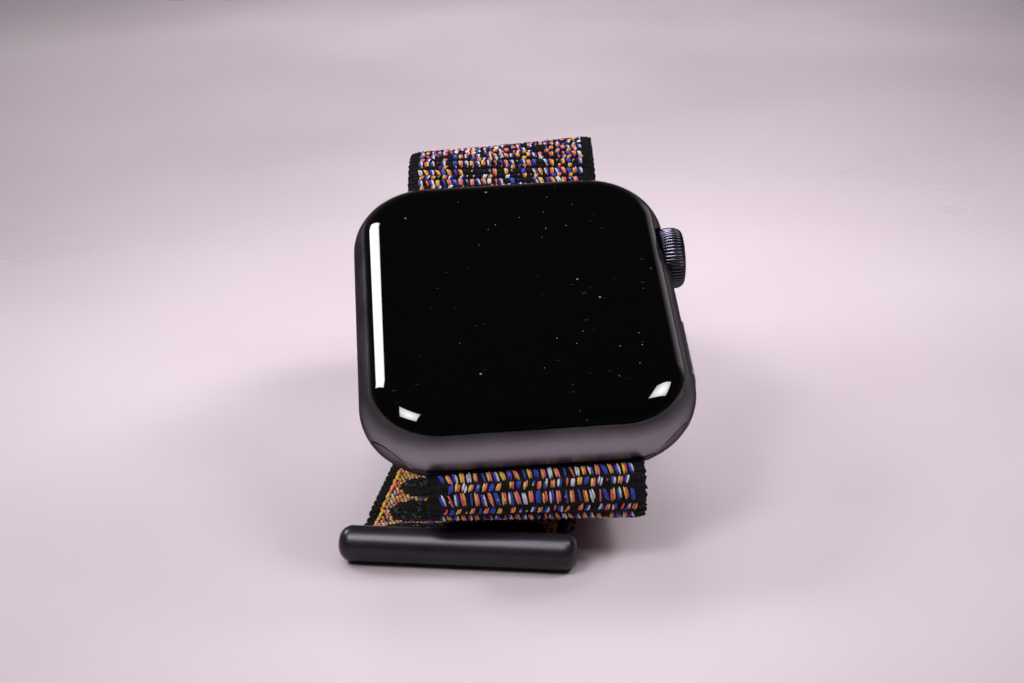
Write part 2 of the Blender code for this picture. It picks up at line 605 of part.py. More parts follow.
def in_world(y, z):
    """A point of the case's middle plane, as distance and height in the world."""
    turned_y = y * math.cos(CASE_TILT) - z * math.sin(CASE_TILT)
    turned_z = y * math.sin(CASE_TILT) + z * math.cos(CASE_TILT)
    return Vector((turned_y, turned_z + CASE_LIFT))


class Route:
    """A strap's middle line in the Y Z plane, made of straight runs and arcs."""

    def __init__(self, start, heading):
        self.points = [Vector(start)]
        self.heading = heading

    def straight(self, length, steps=1):
        """Adds a straight run along the heading."""
        step = Vector((math.cos(self.heading), math.sin(self.heading))) * length / steps
        for _ in range(steps):
            self.points.append(self.points[-1] + step)

    def arc(self, radius, turn):
        """Adds an arc, to the left for a positive turn."""
        side = math.copysign(1.0, turn)
        normal = Vector((-math.sin(self.heading), math.cos(self.heading))) * side
        centre = self.points[-1] + normal * radius
        first = self.heading
        for step in range(1, ARC_STEPS + 1):
            angle = first + turn * step / ARC_STEPS
            outward = Vector((math.sin(angle), -math.cos(angle))) * side
            self.points.append(centre + outward * radius)
        self.heading = first + turn

    def lengths(self):
        """Distance along the line at each point."""
        total = [0.0]
        for first, second in zip(self.points, self.points[1:]):
            total.append(total[-1] + (second - first).length)
        return total


def strap_section(width, thickness):
    """Corner points of a strap's section: flat faces and thinner woven edges, as across and up."""
    half = width / 2
    flat = half - SELVAGE
    edge = min(SELVAGE_THICKNESS, thickness) / 2
    face = thickness / 2
    right = [(flat, -face), (half, -edge), (half, edge), (flat, face)]
    left = [(-across, up) for across, up in reversed(right)]
    return right + left


def loft(name, rings, material):
    """A closed body through rings of points, with flat ends."""
    work = bmesh.new()
    rows = [[work.verts.new(point) for point in points] for points in rings]
    for first, second in zip(rows, rows[1:]):
        for index in range(len(first)):
            after = (index + 1) % len(first)
            work.faces.new((first[index], first[after], second[after], second[index]))
    work.faces.new(rows[0])
    work.faces.new(rows[-1])
    bmesh.ops.recalc_face_normals(work, faces=work.faces)
    mesh = bpy.data.meshes.new(name)
    work.to_mesh(mesh)
    work.free()
    return smooth(add(name, mesh, material, parent=False), 30.0)


def strap_rings(route, shift, thickness):
    """Rings of points round a strap, given its middle line, its sideways shift and its thickness along it."""
    along = route.lengths()
    middle = [Vector((shift(s), *point)) for s, point in zip(along, route.points)]
    rings = []
    for index, point in enumerate(middle):
        before = middle[max(index - 1, 0)]
        after = middle[min(index + 1, len(middle) - 1)]
        forward = (after - before).normalized()
        across = Vector((1, 0, 0))
        across = (across - forward * across.dot(forward)).normalized()
        up = across.cross(forward)
        section = strap_section(STRAP_WIDTH, thickness(along[index]))
        rings.append([point + across * x + up * z for x, z in section])
    return rings


def root_thickness(s, taper):
    """A strap's thickness near a root, rising to its full thickness."""
    share = min(s / taper, 1.0)
    return STRAP_ROOT + (STRAP_THICKNESS - STRAP_ROOT) * share


def make_long_strap(weave, gloss):
    """The long strap: up and back from the case, down in a loop, and forward along the table to its bar."""
    half = STRAP_THICKNESS / 2
    slope = math.tan(-BAR_YAW)
    route = Route(in_world(STRAP_START, SLOT_HEIGHT), CASE_TILT)
    route.straight(TAPER_LENGTH, 6)
    route.straight(LONG_STRAIGHT - TAPER_LENGTH)
    route.arc(LOOP_RADIUS, -math.pi / 2 - CASE_TILT)
    lower_radius = route.points[-1][1] - half
    route.arc(lower_radius, -math.pi / 2)
    loop_end = route.lengths()[-1]
    loop_y = route.points[-1][0]
    landed_x = BAR_PLACE[0] + slope * (loop_y - BAR_PLACE[1])
    tongue_end = BAR_PLACE[1] + (BAR_RADIUS - BAR_SLOT) * math.cos(BAR_YAW)
    bar_back = BAR_PLACE[1] + (BAR_RADIUS + 2 * FIT) * math.cos(BAR_YAW)
    rise_from = bar_back + BAR_RISE
    route.straight(loop_y - rise_from, 2)
    for step in range(1, 5):
        share = step / 4
        ease = share * share * (3 - 2 * share)
        height = half + (BAR_RADIUS - half) * ease
        route.points.append(Vector((rise_from - BAR_RISE * share, height)))
    thinned = route.lengths()[-1]
    route.straight(bar_back - tongue_end)

    def shift(s):
        """Sideways place: straight at the case, then over to the bar's line, which it follows along the table."""
        if s >= loop_end:
            return landed_x - slope * (s - loop_end)
        share = s / loop_end
        return landed_x * (3 - 2 * share) * share**2 - slope * loop_end * (share - 1) * share**2

    def thickness(s):
        return min(root_thickness(s, TAPER_LENGTH), root_thickness(max(thinned - s, 0.0), BAR_RISE))

    loft("long_strap", strap_rings(route, shift, thickness), weave)
    make_end_bar(gloss)


def make_end_bar(gloss):
    """The round bar that closes the long strap, with the slot that the strap's end sits in."""
    edge = BAR_EDGE
    half = BAR_LENGTH / 2
    profile = [(0.0, half), (BAR_RADIUS - edge, half)]
    for step in range(1, 4):
        angle = math.pi / 2 * step / 3
        profile.append((BAR_RADIUS - edge + edge * math.sin(angle), half - edge + edge * math.cos(angle)))
    profile += [(radius, -height) for radius, height in reversed(profile)]
    turn = Matrix.Rotation(BAR_YAW, 4, "Z") @ Matrix.Rotation(math.pi / 2, 4, "Y")
    bar = turned("end_bar", profile, material=gloss)
    bar.parent = None
    bar.matrix_world = Matrix.Translation((*BAR_PLACE, BAR_RADIUS)) @ turn
    smooth(bar)
    slot_depth = BAR_SLOT + FIT
    size = (STRAP_WIDTH + 2 * SLIDE_FIT, slot_depth + BAR_RADIUS, STRAP_ROOT + 2 * SLIDE_FIT)
    slot = box("bar_slot_tool", size, (0, 0, 0))
    slot.parent = None
    back = Matrix.Translation((0, BAR_RADIUS - slot_depth + size[1] / 2, 0))
    place = Matrix.Translation((*BAR_PLACE, BAR_RADIUS))
    slot.matrix_world = place @ Matrix.Rotation(BAR_YAW, 4, "Z") @ back
    cut(bar, slot)


def make_short_strap(weave, hook):
    """The short strap: out of the case, folded under, and down flat on the long strap, with its hook patch."""
    route = Route(in_world(-STRAP_START, SLOT_HEIGHT), math.pi + CASE_TILT)
    route.straight(SHORT_STRAIGHT)
    route.arc(FOLD_RADIUS, math.pi - CASE_TILT - FOLD_SLOPE)
    landing_drop = LANDING_RADIUS * (1 - math.cos(FOLD_SLOPE))
    drop = route.points[-1][1] - SHORT_STRAP_MIDDLE - landing_drop
    route.straight(drop / math.sin(FOLD_SLOPE))
    route.arc(LANDING_RADIUS, FOLD_SLOPE)
    landed = route.points[-1][0]
    route.straight(SHORT_LANDED)

    def shift(_):
        return 0.0

    def thickness(s):
        return root_thickness(s, TAPER_LENGTH)

    loft("short_strap", strap_rings(route, shift, thickness), weave)
    patch_middle = landed + SHORT_LANDED - PATCH_LENGTH / 2 - 4 * FIT
    height = (PATCH_LOW + PATCH_HIGH) / 2
    size = (PATCH_WIDTH, PATCH_LENGTH, PATCH_THICKNESS)
    patch = box("hook_patch", size, (0, patch_middle, height), hook)
    patch.parent = None


def main():
    """Builds the watch."""
    global parts, cutters, case_frame
    clear_scene()
    parts = new_collection("smartwatch")
    cutters = new_collection("cutting_tools")
    case_frame = bpy.data.objects.new("case_frame", None)
    parts.objects.link(case_frame)
    case_frame.location = (0, 0, CASE_LIFT)
    case_frame.rotation_euler = (CASE_TILT, 0, 0)

    metal = finish("anodised_grey", (0.12, 0.115, 0.125), 0.42, 1.0)
    dark = finish("dark_polish", (0.02, 0.02, 0.022), 0.2)
    glass = finish("black_glass", (0.004, 0.004, 0.005), 0.03)
    rubber = finish("seal_rubber", (0.02, 0.02, 0.02), 0.8)
    panel = finish("display_black", (0.01, 0.01, 0.012), 0.3)
    steel = finish("spring_steel", (0.55, 0.55, 0.56), 0.3, 1.0)
    crystal = finish("back_crystal", (0.03, 0.03, 0.032), 0.08)
    board = finish("circuit_board", (0.02, 0.08, 0.05), 0.5)
    copper = finish("copper", (0.72, 0.36, 0.2), 0.35, 1.0)
    ferrite = finish("ferrite", (0.05, 0.05, 0.055), 0.7)
    lens = finish("led_lens", (0.1, 0.6, 0.25), 0.2)
    battery = finish("battery_wrap", (0.06, 0.06, 0.065), 0.5)
    plastic = finish("black_plastic", (0.02, 0.02, 0.022), 0.45)
    brass = finish("brass", (0.7, 0.5, 0.22), 0.3, 1.0)
    weave = finish("woven_band", (0.09, 0.06, 0.07), 0.9)
    gloss = finish("black_bar", (0.012, 0.012, 0.014), 0.28)
    hook = finish("hook_tape", (0.02, 0.02, 0.02), 0.85)

    make_case(metal)
    make_display(glass, rubber, panel, steel)
    make_back(crystal, rubber, board, copper, ferrite, lens)
    make_works(board, battery, steel, plastic, copper, rubber)
    make_crown(metal, dark, brass, rubber, plastic)
    make_side_button(metal, steel, plastic)
    make_lug("12", 1, plastic, steel, metal)
    make_lug("6", -1, plastic, steel, metal)
    make_long_strap(weave, gloss)
    make_short_strap(weave, hook)
    bpy.context.view_layer.update()


main()
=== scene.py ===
import random
from math import asin, copysign, cos, hypot, pi, radians, sin, sqrt, tan

import bmesh
import bpy
import numpy as np
from mathutils import Matrix, Vector


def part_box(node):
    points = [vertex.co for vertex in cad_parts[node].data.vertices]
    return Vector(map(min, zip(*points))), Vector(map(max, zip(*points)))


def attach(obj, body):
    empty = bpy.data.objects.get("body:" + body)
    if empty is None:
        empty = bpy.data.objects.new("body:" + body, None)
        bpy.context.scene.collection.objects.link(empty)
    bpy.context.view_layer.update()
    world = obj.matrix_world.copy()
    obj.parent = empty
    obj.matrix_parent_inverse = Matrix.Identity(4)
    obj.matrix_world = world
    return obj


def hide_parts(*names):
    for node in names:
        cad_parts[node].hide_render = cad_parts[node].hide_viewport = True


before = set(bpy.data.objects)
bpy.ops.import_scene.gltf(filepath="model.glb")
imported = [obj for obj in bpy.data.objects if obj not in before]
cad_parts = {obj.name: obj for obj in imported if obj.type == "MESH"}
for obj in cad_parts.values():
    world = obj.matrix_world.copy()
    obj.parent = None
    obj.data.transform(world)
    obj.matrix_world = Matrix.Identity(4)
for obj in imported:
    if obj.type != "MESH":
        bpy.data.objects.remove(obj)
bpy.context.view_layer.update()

chance = random.Random(11)
MM = 0.001


def mm(*lengths):
    """Lengths in millimetres, as metres."""
    return [length * MM for length in lengths]


# Case, as in the CAD model
CASE_WIDTH, CASE_LENGTH, CASE_CORNER, CASE_EDGE = mm(38, 44, 9.2, 4.8)
CASE_TILT = radians(23)
CASE_LIFT = 21 * MM
CASE_FRAME = Matrix.Translation((0, 0, CASE_LIFT)) @ Matrix.Rotation(CASE_TILT, 4, "X")
TO_FLANK = Matrix.Rotation(pi / 2, 4, "Y")  # turns a piece's Z axis to three o'clock
CAVITY = mm(32.8, 33.6, 4)  # width, length and corner
CAVITY_FLOOR = -3.6 * MM
SEAM_HEIGHT, SEAM_GAP, SEAM_BEVEL = mm(3.3, 0.1, 0.13)
CASE_RIM, GLASS_RIM = mm(3, 2)  # widths of the faces at the seam
FLAT_RINGS = mm(1, 3)  # how far in from the rounding rings lie on a flat face
REBATE_INSET, REBATE_FLOOR = mm(1.7, 3.05)
BACK_HOLE_RADIUS, BACK_SEAT_RADIUS, BACK_SEAT = mm(12.4, 14.6, -4)
CROWN_Y, CROWN_POCKET, CROWN_POCKET_RADIUS, CROWN_HOLE_RADIUS = mm(9, 17.6, 3.8, 1.9)
BUTTON_Y, BUTTON_POCKET, BUTTON_HOLE_RADIUS = mm(-7.5, 17.65, 1)
BUTTON_POCKET_SIZE, SOUND_SLOT = mm(10.4, 3.2), mm(5, 1)  # lengths and widths
SOUND_SLOTS_Y = mm(0.5, 7.5)
SOUND_SLOT_Z, SOUND_SLOT_INNER = mm(-0.4, -15.3)
LUG_Y, LUG_Z, SLOT_Y, SLOT_Z, SLOT_RADIUS, SLOT_MOUTH = mm(19.7, -1.8, 19.2, -1.3, 2.05, 1.8)
RELEASE_HOLE = mm(4.8, 2, 0.8)
REACH = 60 * MM  # longer than anything that is cut
CARVED_EDGE = 0.09 * MM  # bevel along the carved edges
BEVEL_ANGLE = radians(40)
SHARP_CORNER = 0.01 * MM
OBLONG_END = 0.499  # of the width, so that the short sides don't shrink to nothing
SHARP, CROWN_SHARP, BUTTON_SHARP = 32, 38, 40  # degrees from which an edge looks sharp

# Back crystal
CRYSTAL_RADIUS, CRYSTAL_PLUG, CRYSTAL_FLAT, CRYSTAL_DOME = mm(14.5, 12.3, 5, 1.35)
CRYSTAL_LOW, CRYSTAL_FLANGE, CRYSTAL_TOP = mm(-4.85, -4.45, -4)
CRYSTAL_POLES = mm(0.5, 1)  # radii of its innermost rings, above and below
CRYSTAL_STEPS = 20
SENSOR_RING, SENSOR_WINDOWS = mm(8.4, 8.7), mm(6.3, 6.5)

# Crown and side button
CROWN_RADIUS, CROWN_INNER, CROWN_FACE = mm(3.7, 18, 20.85)
CROWN_SHOULDER, CROWN_ROUNDING = mm(1.2, 0.75)  # along the axis and towards it
CROWN_BELLY = 0.03 * MM  # swell half-way along
CROWN_TEETH, TOOTH_POINTS, CROWN_TOOTH = 52, 8, 0.13 * MM
TOOTH_POWER = 0.7  # below 1, so that the teeth are broader than the grooves
CROWN_BORE, CROWN_BORE_END = mm(1.1, 19.3)
CAP_RADIUS, CAP_SEAT, CAP_FACE, CAP_DOME, CAP_LIP, CAP_GAP = mm(2.5, 20.55, 20.95, 0.2, 2.6, 0.05)
CAP_POLES = mm(0.4, 0.01)  # radii of its innermost rings, below and above
BUTTON_SIZE = mm(10, 2.8)
BUTTON_INNER, BUTTON_FACE, BUTTON_EDGE = mm(18.05, 19.15, 0.18)
BUTTON_RIM = ((0, BUTTON_EDGE), mm(0.06, 0.05), (BUTTON_EDGE, 0))  # inset and drop
BUTTON_RINGS = (0.66, 0.33, 0.02)  # shares of the width at which rings lie on its face

# Lugs
LUG_RADIUS, LUG_TONGUE, LUG_NECK, LUG_NECK_END = mm(1.78, 1.2, 1.3, 21.95)
LUG_SUNK = 0.06 * MM  # how far the lug lies below the flank
LUG_THROAT = 1 * MM  # where the strap's neck starts, out from the lug
NECK_CORNER, NECK_SLACK = mm(0.3, 0.3)
NECK_MARGIN = mm(0.05, 0.2)  # across and outward, to tell the neck's faces from the lug's
DETENT_BORE, DETENT_BORE_TOP = mm(0.9, -1.5)

# Band
STRAP_WIDTH, STRAP_THICKNESS, STRAP_ROOT, STRAP_START = mm(24, 2, 1.5, 22.1)
HALF_STRAP = STRAP_WIDTH / 2
SELVAGE, SELVAGE_THICKNESS, TAPER_LENGTH = mm(1.4, 1.2, 2.5)
LONG_STRAIGHT, LOOP_RADIUS = mm(6.4, 14)
LOOP_ROLL = radians(4)
SHORT_STRAIGHT, FOLD_RADIUS, LANDING_RADIUS, SHORT_LANDED, SHORT_MIDDLE = mm(0.6, 1.9, 20, 20, 3.8)
FOLD_SLOPE = radians(15)
FOLD_DIP = radians(3.6)  # how far the fold hangs down towards three o'clock
FOLD_DIP_ENDS = mm(6, 17)  # where along the short strap it is full, and where gone
BAR_RADIUS, BAR_LENGTH, BAR_DOME, BAR_POLE = mm(2.05, 26.8, 1.5, 0.3)
BAR_PLACE = mm(-9, -19.7)
BAR_YAW = radians(-13.1)
BAR_SLOT, BAR_SLOT_CORNER, BAR_SLOT_GAP, BAR_SLACK = mm(1.5, 0.3, 0.1, 0.4)
BAR_RISE, BAR_GAP = mm(6, 0.2)
BAR_RISE_STEPS = 24
PATCH_PITCH, PATCH_CORNER, PATCH_RIM = mm(0.75, 1, 0.25)
PATCH_EDGES = mm(0.08, 0.04)  # drop of its upper and rise of its lower rim
HOOK_LENGTH, HOOK_WIDTH = mm(0.3, 0.12)

# Yarn
ROUTE_STEP, CORE_STEP, CORE_INSET = mm(0.25, 0.4, 0.2)
CORE_COLUMNS = 61
CORE_SKIN = 0.2 * MM  # depth of the stitches on the straps' faces
WALE_PITCH, TALL_ROW, SHORT_ROW, ROW_GAP = mm(0.74, 1.08, 0.74, 0.04)
LONG_FIRST, SHORT_FIRST = mm(0.2, 0.1)  # where the stitches start on the two straps
LONG_BARE, SHORT_BARE = 0.22, 0.04  # shares of black stitches there
SHORT_ROW_BARE = 2.5  # times as many in the short rows
CROSSINGS = 0.45  # share of the stitches with a strand across them
PILE_START, PILE_ROW, PILE_PITCH, PILE_INSET = mm(0.2, 0.5, 0.46, 0.3)
PAD_PITCH, PAD_HALF_LENGTH, PAD_HALF_WIDTH, PAD_HEIGHT = mm(5.8, 2.35, 9.5, 0.3)
PAD_STEEPNESS = 4
PAD_PHASE = 0.55 * MM  # from the end bar back to the middle of the nearest pad
SELVAGE_PITCH, HEM_INSET = mm(0.62, 0.22)
SELVAGE_ROWS = mm(0.25, 0.62, 1)  # in from the strap's edge
STITCH_SUNK, SELVAGE_SUNK, TOP_SUNK = mm(-0.05, -0.06, -0.02)  # how deep strands start
# Strands' lengths, widths and heights. Pairs are ranges in millimetres, which are drawn from. The
# lengths of stitches and ribs are shares of their rows.
STITCH = ((1.15, 1.5), (0.25, 0.32), (0.24, 0.32))
PLY_SHIFT = 0.12  # from a stitch's middle to each of its two plies, in millimetres
RIB = (1.2, *mm(0.2, 0.26))
CROSSING, HEM, EDGE_STRAND = mm(0.5, 0.2, 0.32), mm(1.15, 0.52, 0.22), mm(0.8, 0.48, 0.26)
EDGE_RIB = (*mm(0.78, 0.4), (0.22, 0.3))
TUFT = (*mm(0.62, 0.27), (0.14, 0.22))
LOOP = (*mm(0.66, 0.36), (0.16, 0.24))
EDGE_STRAND_INSET = (0.02, 0.22)
# A strand's shape: rings along it, points round it, taper, arch, tuck of its ends and thickness
STRAND_RINGS = (-1.0, -0.6, 0.0, 0.6, 1.0)
STRAND_SIDES = 6
STRAND_SHAPE = (0.9, 0.62, 0.25, 0.38)
# Yarns, in the order of a strap's materials: name, colour, and sheen and gloss where unusual
BLACK, YELLOW, CORAL, ORANGE, PINK, LILAC, BLUE, GLINT_GREY = range(8)
YARNS = (
    ("yarn_black", (0.004, 0.004, 0.005), 0.02, 0.26),
    ("yarn_yellow", (0.9, 0.6, 0.06)),
    ("yarn_coral", (0.84, 0.12, 0.1)),
    ("yarn_orange", (0.85, 0.36, 0.1)),
    ("yarn_pink", (0.82, 0.16, 0.27)),
    ("yarn_lilac", (0.7, 0.7, 0.84)),
    ("yarn_blue", (0.035, 0.055, 0.5)),
    # Grey yarn, laid among the black tufts as painted glints of light
    ("yarn_grey", (0.07, 0.07, 0.075), 0.02),
)
# The two colours of a stitch, warm or cool
WARM = ((YELLOW, CORAL), (CORAL, YELLOW), (ORANGE, PINK), (YELLOW, PINK), (CORAL, ORANGE),
        (YELLOW, ORANGE), (BLACK, CORAL))
COOL = ((BLUE, LILAC), (LILAC, BLUE), (BLUE, BLUE), (LILAC, LILAC), (BLUE, LILAC), (BLACK, BLUE))
CROSSING_COLOURS = (YELLOW, CORAL, ORANGE, PINK, LILAC, BLUE)
LOOP_COLOURS = (*[YELLOW] * 4, *[ORANGE] * 3, CORAL, CORAL, LILAC, LILAC, BLUE, PINK)
EDGE_COLOURS = (ORANGE, YELLOW, CORAL, ORANGE)
TUFT_COLOURS = (*[BLACK] * 4, GLINT_GREY)  # black tufts, with some grey ones as painted glints of light on the black yarn

# Finishes
NOISE_SPAN = (0.3, 0.7)  # where most of the noise lies
GRAIN_DEPTH = 0.02 * MM
FIBRE_DEPTH = 0.05 * MM
WINDING_DEPTH = 0.08 * MM
WINDING_PITCH = 0.3 * MM
METAL_CONTRAST = 0.12
NO_COLOUR = (0, 0, 0, 1)
SCRATCHES = ((0.35, 150.0), (1.2, 210.0), (-0.5, 180.0))  # turn and scale along them
SCRATCH_FINENESS = 5200.0

# Camera and light, measured from the photograph
CAMERA_PLACE = (-12.56 * MM, -190.46 * MM, 96.1 * MM)
CAMERA_RIGHT = Vector((0.99639, -0.0765, -0.0368))
CAMERA_UP = Vector((0.06289, 0.37420, 0.92521))
CAMERA_LENS = 61.27
CAMERA_SENSOR = 36.0
CAMERA_NEAR = 0.01
# Name, the spot on the glass that mirrors the light, direction from there, distance, width and
# height in degrees as seen from there, turn about the direction in degrees, radiance
LIGHTS = (
    ("strip_light", (-0.0165, 0.0, 0.025), (-0.565, 0.508, 0.651), 0.3, 20.0, 20.0, 0.0, 16.0),
    ("left_softbox", (-0.014, -0.017, 0.017), (-0.44, -0.3, 0.85), 0.3, 18.0, 20.0, 20.0, 14.5),
    ("right_softbox", (0.014, -0.017, 0.017), (0.57, -0.04, 0.82), 0.3, 18.0, 22.0, 10.0, 14.5),
)
SOFTBOX_SPREAD = 42.0
# Gridded lamps that the glass doesn't mirror: name, place, the spot they shine at, size, spread in
# degrees, radiance
FILLS = (
    ("left_fill", (-0.19, 0.10, 0.16), (0.0, 0.07, 0.0), 0.10, 52.0, 9.5),
    ("right_fill", (0.19, 0.12, 0.17), (0.01, 0.07, 0.0), 0.10, 52.0, 21.0),
    ("front_fill", (0.0, -0.10, 0.22), (0.0, -0.085, 0.0), 0.10, 44.0, 5.0),
    ("back_fill", (0.02, 0.34, 0.30), (0.01, 0.21, 0.0), 0.18, 76.0, 15.5),
)
# Panels that light the bar alone and the crown alone: place, size, radiance
BAR_PANEL = ((-0.02, -0.12, 0.24), (0.26, 0.22), 8.5)
CROWN_PANEL = ((0.0, 0.03, 0.24), (0.09, 0.07), 50.0)
PANEL_SPREAD = 150.0
PANEL_COLOUR = (0.93, 0.85, 1.0)
LIGHT_COLOUR = (1.0, 0.97, 0.99)
CEILING_LIGHT = 0.72  # light from all over the ceiling, which the glass doesn't mirror
CEILING_ANGLE = radians(70.0)
ROOM_COLOUR = (1.0, 0.9, 0.97, 1)
ROOM_SHADE = (0.5, 0.0, 0.01, 0.11)  # dimmer overhead than at the table's height
WINDOW_WAY = (0.70, 0.69, 0.17)  # the way to a bright window, which the glass's rim mirrors
WINDOW_SPAN = (0.93, 1.0)
WINDOW_LIGHT = 0.9
SKY = (0.40, 0.35, 0.378, 1)  # the far wall as the camera sees it, as pale as the far table
FLOOR_SIZE = 6.0
FAR_GLOW = (0.26, 0.23, 0.248, 1)  # keeps the table pale far from the lamps
FAR_GLOW_Y = 0.12  # the middle of the part of the table that doesn't glow
FAR_GLOW_SPAN = (0.22, 0.5)


def feed(tree, node, inputs):
    """Sets a node's inputs to values, or links wires to them."""
    for name, value in inputs.items():
        if isinstance(value, Wire):
            tree.links.new(value.socket, node.inputs[name])
        else:
            node.inputs[name].default_value = value


def method(kind, *sockets, out=0, **settings):
    """A method that makes a node and feeds its sockets with a wire and other values."""

    def make(self, *values):
        return self.make(kind, dict(zip(sockets, (self, *values))), out, **settings)

    return make


class Wire:
    """A shader node's output, which can be reckoned with."""

    def __init__(self, tree, socket=None):
        self.tree = tree
        self.socket = socket

    def make(self, kind, inputs, out=0, **settings):
        """One of the outputs of a new node."""
        node = self.tree.nodes.new("ShaderNode" + kind)
        for name, value in settings.items():
            setattr(node, name, value)
        feed(self.tree, node, inputs)
        return Wire(self.tree, node.outputs[out])

    __add__ = method("Math", 0, 1, operation="ADD")
    __sub__ = method("Math", 0, 1, operation="SUBTRACT")
    __rsub__ = method("Math", 1, 0, operation="SUBTRACT")
    __mul__ = method("Math", 0, 1, operation="MULTIPLY")
    __truediv__ = method("Math", 0, 1, operation="DIVIDE")
    __gt__ = method("Math", 0, 1, operation="GREATER_THAN")
    __lt__ = method("Math", 0, 1, operation="LESS_THAN")
    root = method("Math", 0, operation="SQRT")
    sine = method("Math", 0, operation="SINE")
    fraction = method("Math", 0, operation="FRACT")
    ramp = method("MapRange", "Value", "From Min", "From Max", "To Min", "To Max")
    colours = method("Mix", "Factor", 6, 7, out=2, data_type="RGBA")
    bump = method("Bump", "Height", "Strength", "Distance")
    # For a place: noise from 0 to 1, distance to the nearest of many scattered points, that point's
    # random colour, and the place itself stretched and turned
    noise = method("TexNoise", "Vector", "Scale", "Detail", "Roughness")
    spots = method("TexVoronoi", "Vector", "Scale")
    spot_colours = method("TexVoronoi", "Vector", "Scale", out="Color")
    stretched = method("Mapping", "Vector", "Scale", "Rotation")

    def part(self, axis):
        return self.make("SeparateXYZ", {0: self}, axis)

    def hypot(self, other):
        return (self * self + other * other).root()

    def specks(self, scale, radius, rarity, channel=0):
        """1 inside specks round some of many scattered points."""
        return (self.spots(scale) < radius) * (self.spot_colours(scale).part(channel) > rarity)


def tone(colour, level):
    """A colour with alpha, made lighter or darker."""
    return (*(min(part * level, 1.0) for part in colour), 1.0)


def surface(name):
    """A new material, and the place on its object as a wire."""
    made = bpy.data.materials.new(name)
    made.use_nodes = True
    return made, Wire(made.node_tree).make("TexCoord", {}, "Object")


def finish(made, sockets):
    """Gives a material's sockets their values or wires."""
    feed(made.node_tree, made.node_tree.nodes["Principled BSDF"], sockets)
    return made


def satin_metal(name, colour, roughness, grain=9000.0, edge=1.0):
    """Blasted metal with a fine grain and a roughness that wanders."""
    made, place = surface(name)
    clouds = place.noise(260.0, 4.0)
    fine = place.noise(grain)
    shade = (clouds * 0.5 + fine * 0.5).ramp(*NOISE_SPAN)
    dull = (clouds * 0.6 + fine * 0.4).ramp(*NOISE_SPAN, roughness - 0.05, roughness + 0.07)
    dark, light = tone(colour, 1 - METAL_CONTRAST), tone(colour, 1 + METAL_CONTRAST)
    return finish(made, {
        "Metallic": 1.0,
        "Specular Tint": (edge, edge, edge, 1.0),
        "Base Color": shade.colours(dark, light),
        "Roughness": dull,
        "Normal": fine.bump(0.12, GRAIN_DEPTH),
    })


def moulded(name, colour, roughness, grain=7000.0, gloss=0.5):
    """Moulded or rubbery stuff with a fine skin, a little uneven."""
    made, place = surface(name)
    clouds = place.noise(420.0, 3.0).ramp(*NOISE_SPAN)
    fine = place.noise(grain)
    return finish(made, {
        "Specular IOR Level": gloss,
        "Base Color": clouds.colours(tone(colour, 0.8), tone(colour, 1.3)),
        "Roughness": fine.ramp(*NOISE_SPAN, roughness - 0.06, roughness + 0.08),
        "Normal": fine.bump(0.15, GRAIN_DEPTH),
    })


def yarn(name, colour, sheen=0.2, gloss=0.5):
    """Spun yarn: dark and light fibres with a soft sheen."""
    made, place = surface(name)
    fibre = place.noise(5200.0, 3.0, 0.65)
    shade = (fibre * 0.65 + place.noise(700.0) * 0.35).ramp(*NOISE_SPAN)
    return finish(made, {
        "Sheen Weight": sheen,
        "Sheen Roughness": 0.4,
        "Specular IOR Level": gloss,
        "Base Color": shade.colours(tone(colour, 0.62), tone(colour, 1.25)),
        "Roughness": fibre.ramp(*NOISE_SPAN, 0.62, 0.9),
        "Normal": fibre.bump(0.5, FIBRE_DEPTH),
    })


def front_glass_finish():
    """Black glass with dust, fine scratches and a few faint smears."""
    made, place = surface("front_glass")
    dust = place.specks(420.0, 0.055, 0.74)
    patches = place.noise(95.0, 3.0).ramp(0.5, 0.62)
    fine_dust = place.specks(1100.0, 0.09, 0.76, 1) * patches
    scratches = 0.0
    for turn, scale in SCRATCHES:
        lines = place.stretched((scale, SCRATCH_FINENESS, 0), (0, 0, turn))
        scratches = lines.specks(1.0, 0.045, 0.9) + scratches
    marks = (dust * 0.5 + fine_dust * 0.4 + scratches * 0.35).ramp(0.0, 1.0)
    smear = place.stretched((1, 2.6, 1), (0, 0, 0.6)).noise(120.0, 3.0).ramp(0.52, 0.75)
    return finish(made, {
        "IOR": 1.75,
        "Base Color": marks.colours((0.0014, 0.0013, 0.0012, 1), (0.45, 0.43, 0.42, 1)),
        "Roughness": marks * 0.5 + smear * 0.035 + 0.025,
    })


def crystal_finish():
    """The dark back crystal, with a paler ring round its sensor windows."""
    made, place = surface("back_crystal")
    radius = place.part(0).hypot(place.part(1))
    ring = (radius > SENSOR_RING[0]) * (radius < SENSOR_RING[1])
    windows = radius.ramp(*SENSOR_WINDOWS, 1.0, 0.0)
    clouds = place.noise(300.0, 3.0)
    shade = (ring * 0.8 + windows * 0.25 + clouds * 0.08).ramp(0.0, 1.0)
    return finish(made, {
        "IOR": 1.76,
        "Base Color": shade.colours((0.006, 0.006, 0.007, 1), (0.16, 0.155, 0.165, 1)),
        "Roughness": clouds.ramp(*NOISE_SPAN, 0.04, 0.1),
    })


def board_finish():
    """A circuit board: green lacquer over copper tracks and small pads."""
    made, place = surface("board")
    tracks = place.stretched((1, 1, 0), (0, 0, 0.78)).noise(900.0, 0.0)
    lines = (tracks * 9.0).fraction() > 0.6
    pads = place.spots(700.0) < 0.16
    lacquer = lines.colours((0.008, 0.05, 0.03, 1), (0.015, 0.1, 0.055, 1))
    return finish(made, {
        "Base Color": pads.colours(lacquer, (0.7, 0.5, 0.25, 1)),
        "Metallic": pads * 0.9,
        "Roughness": 0.5 - pads * 0.2,
    })


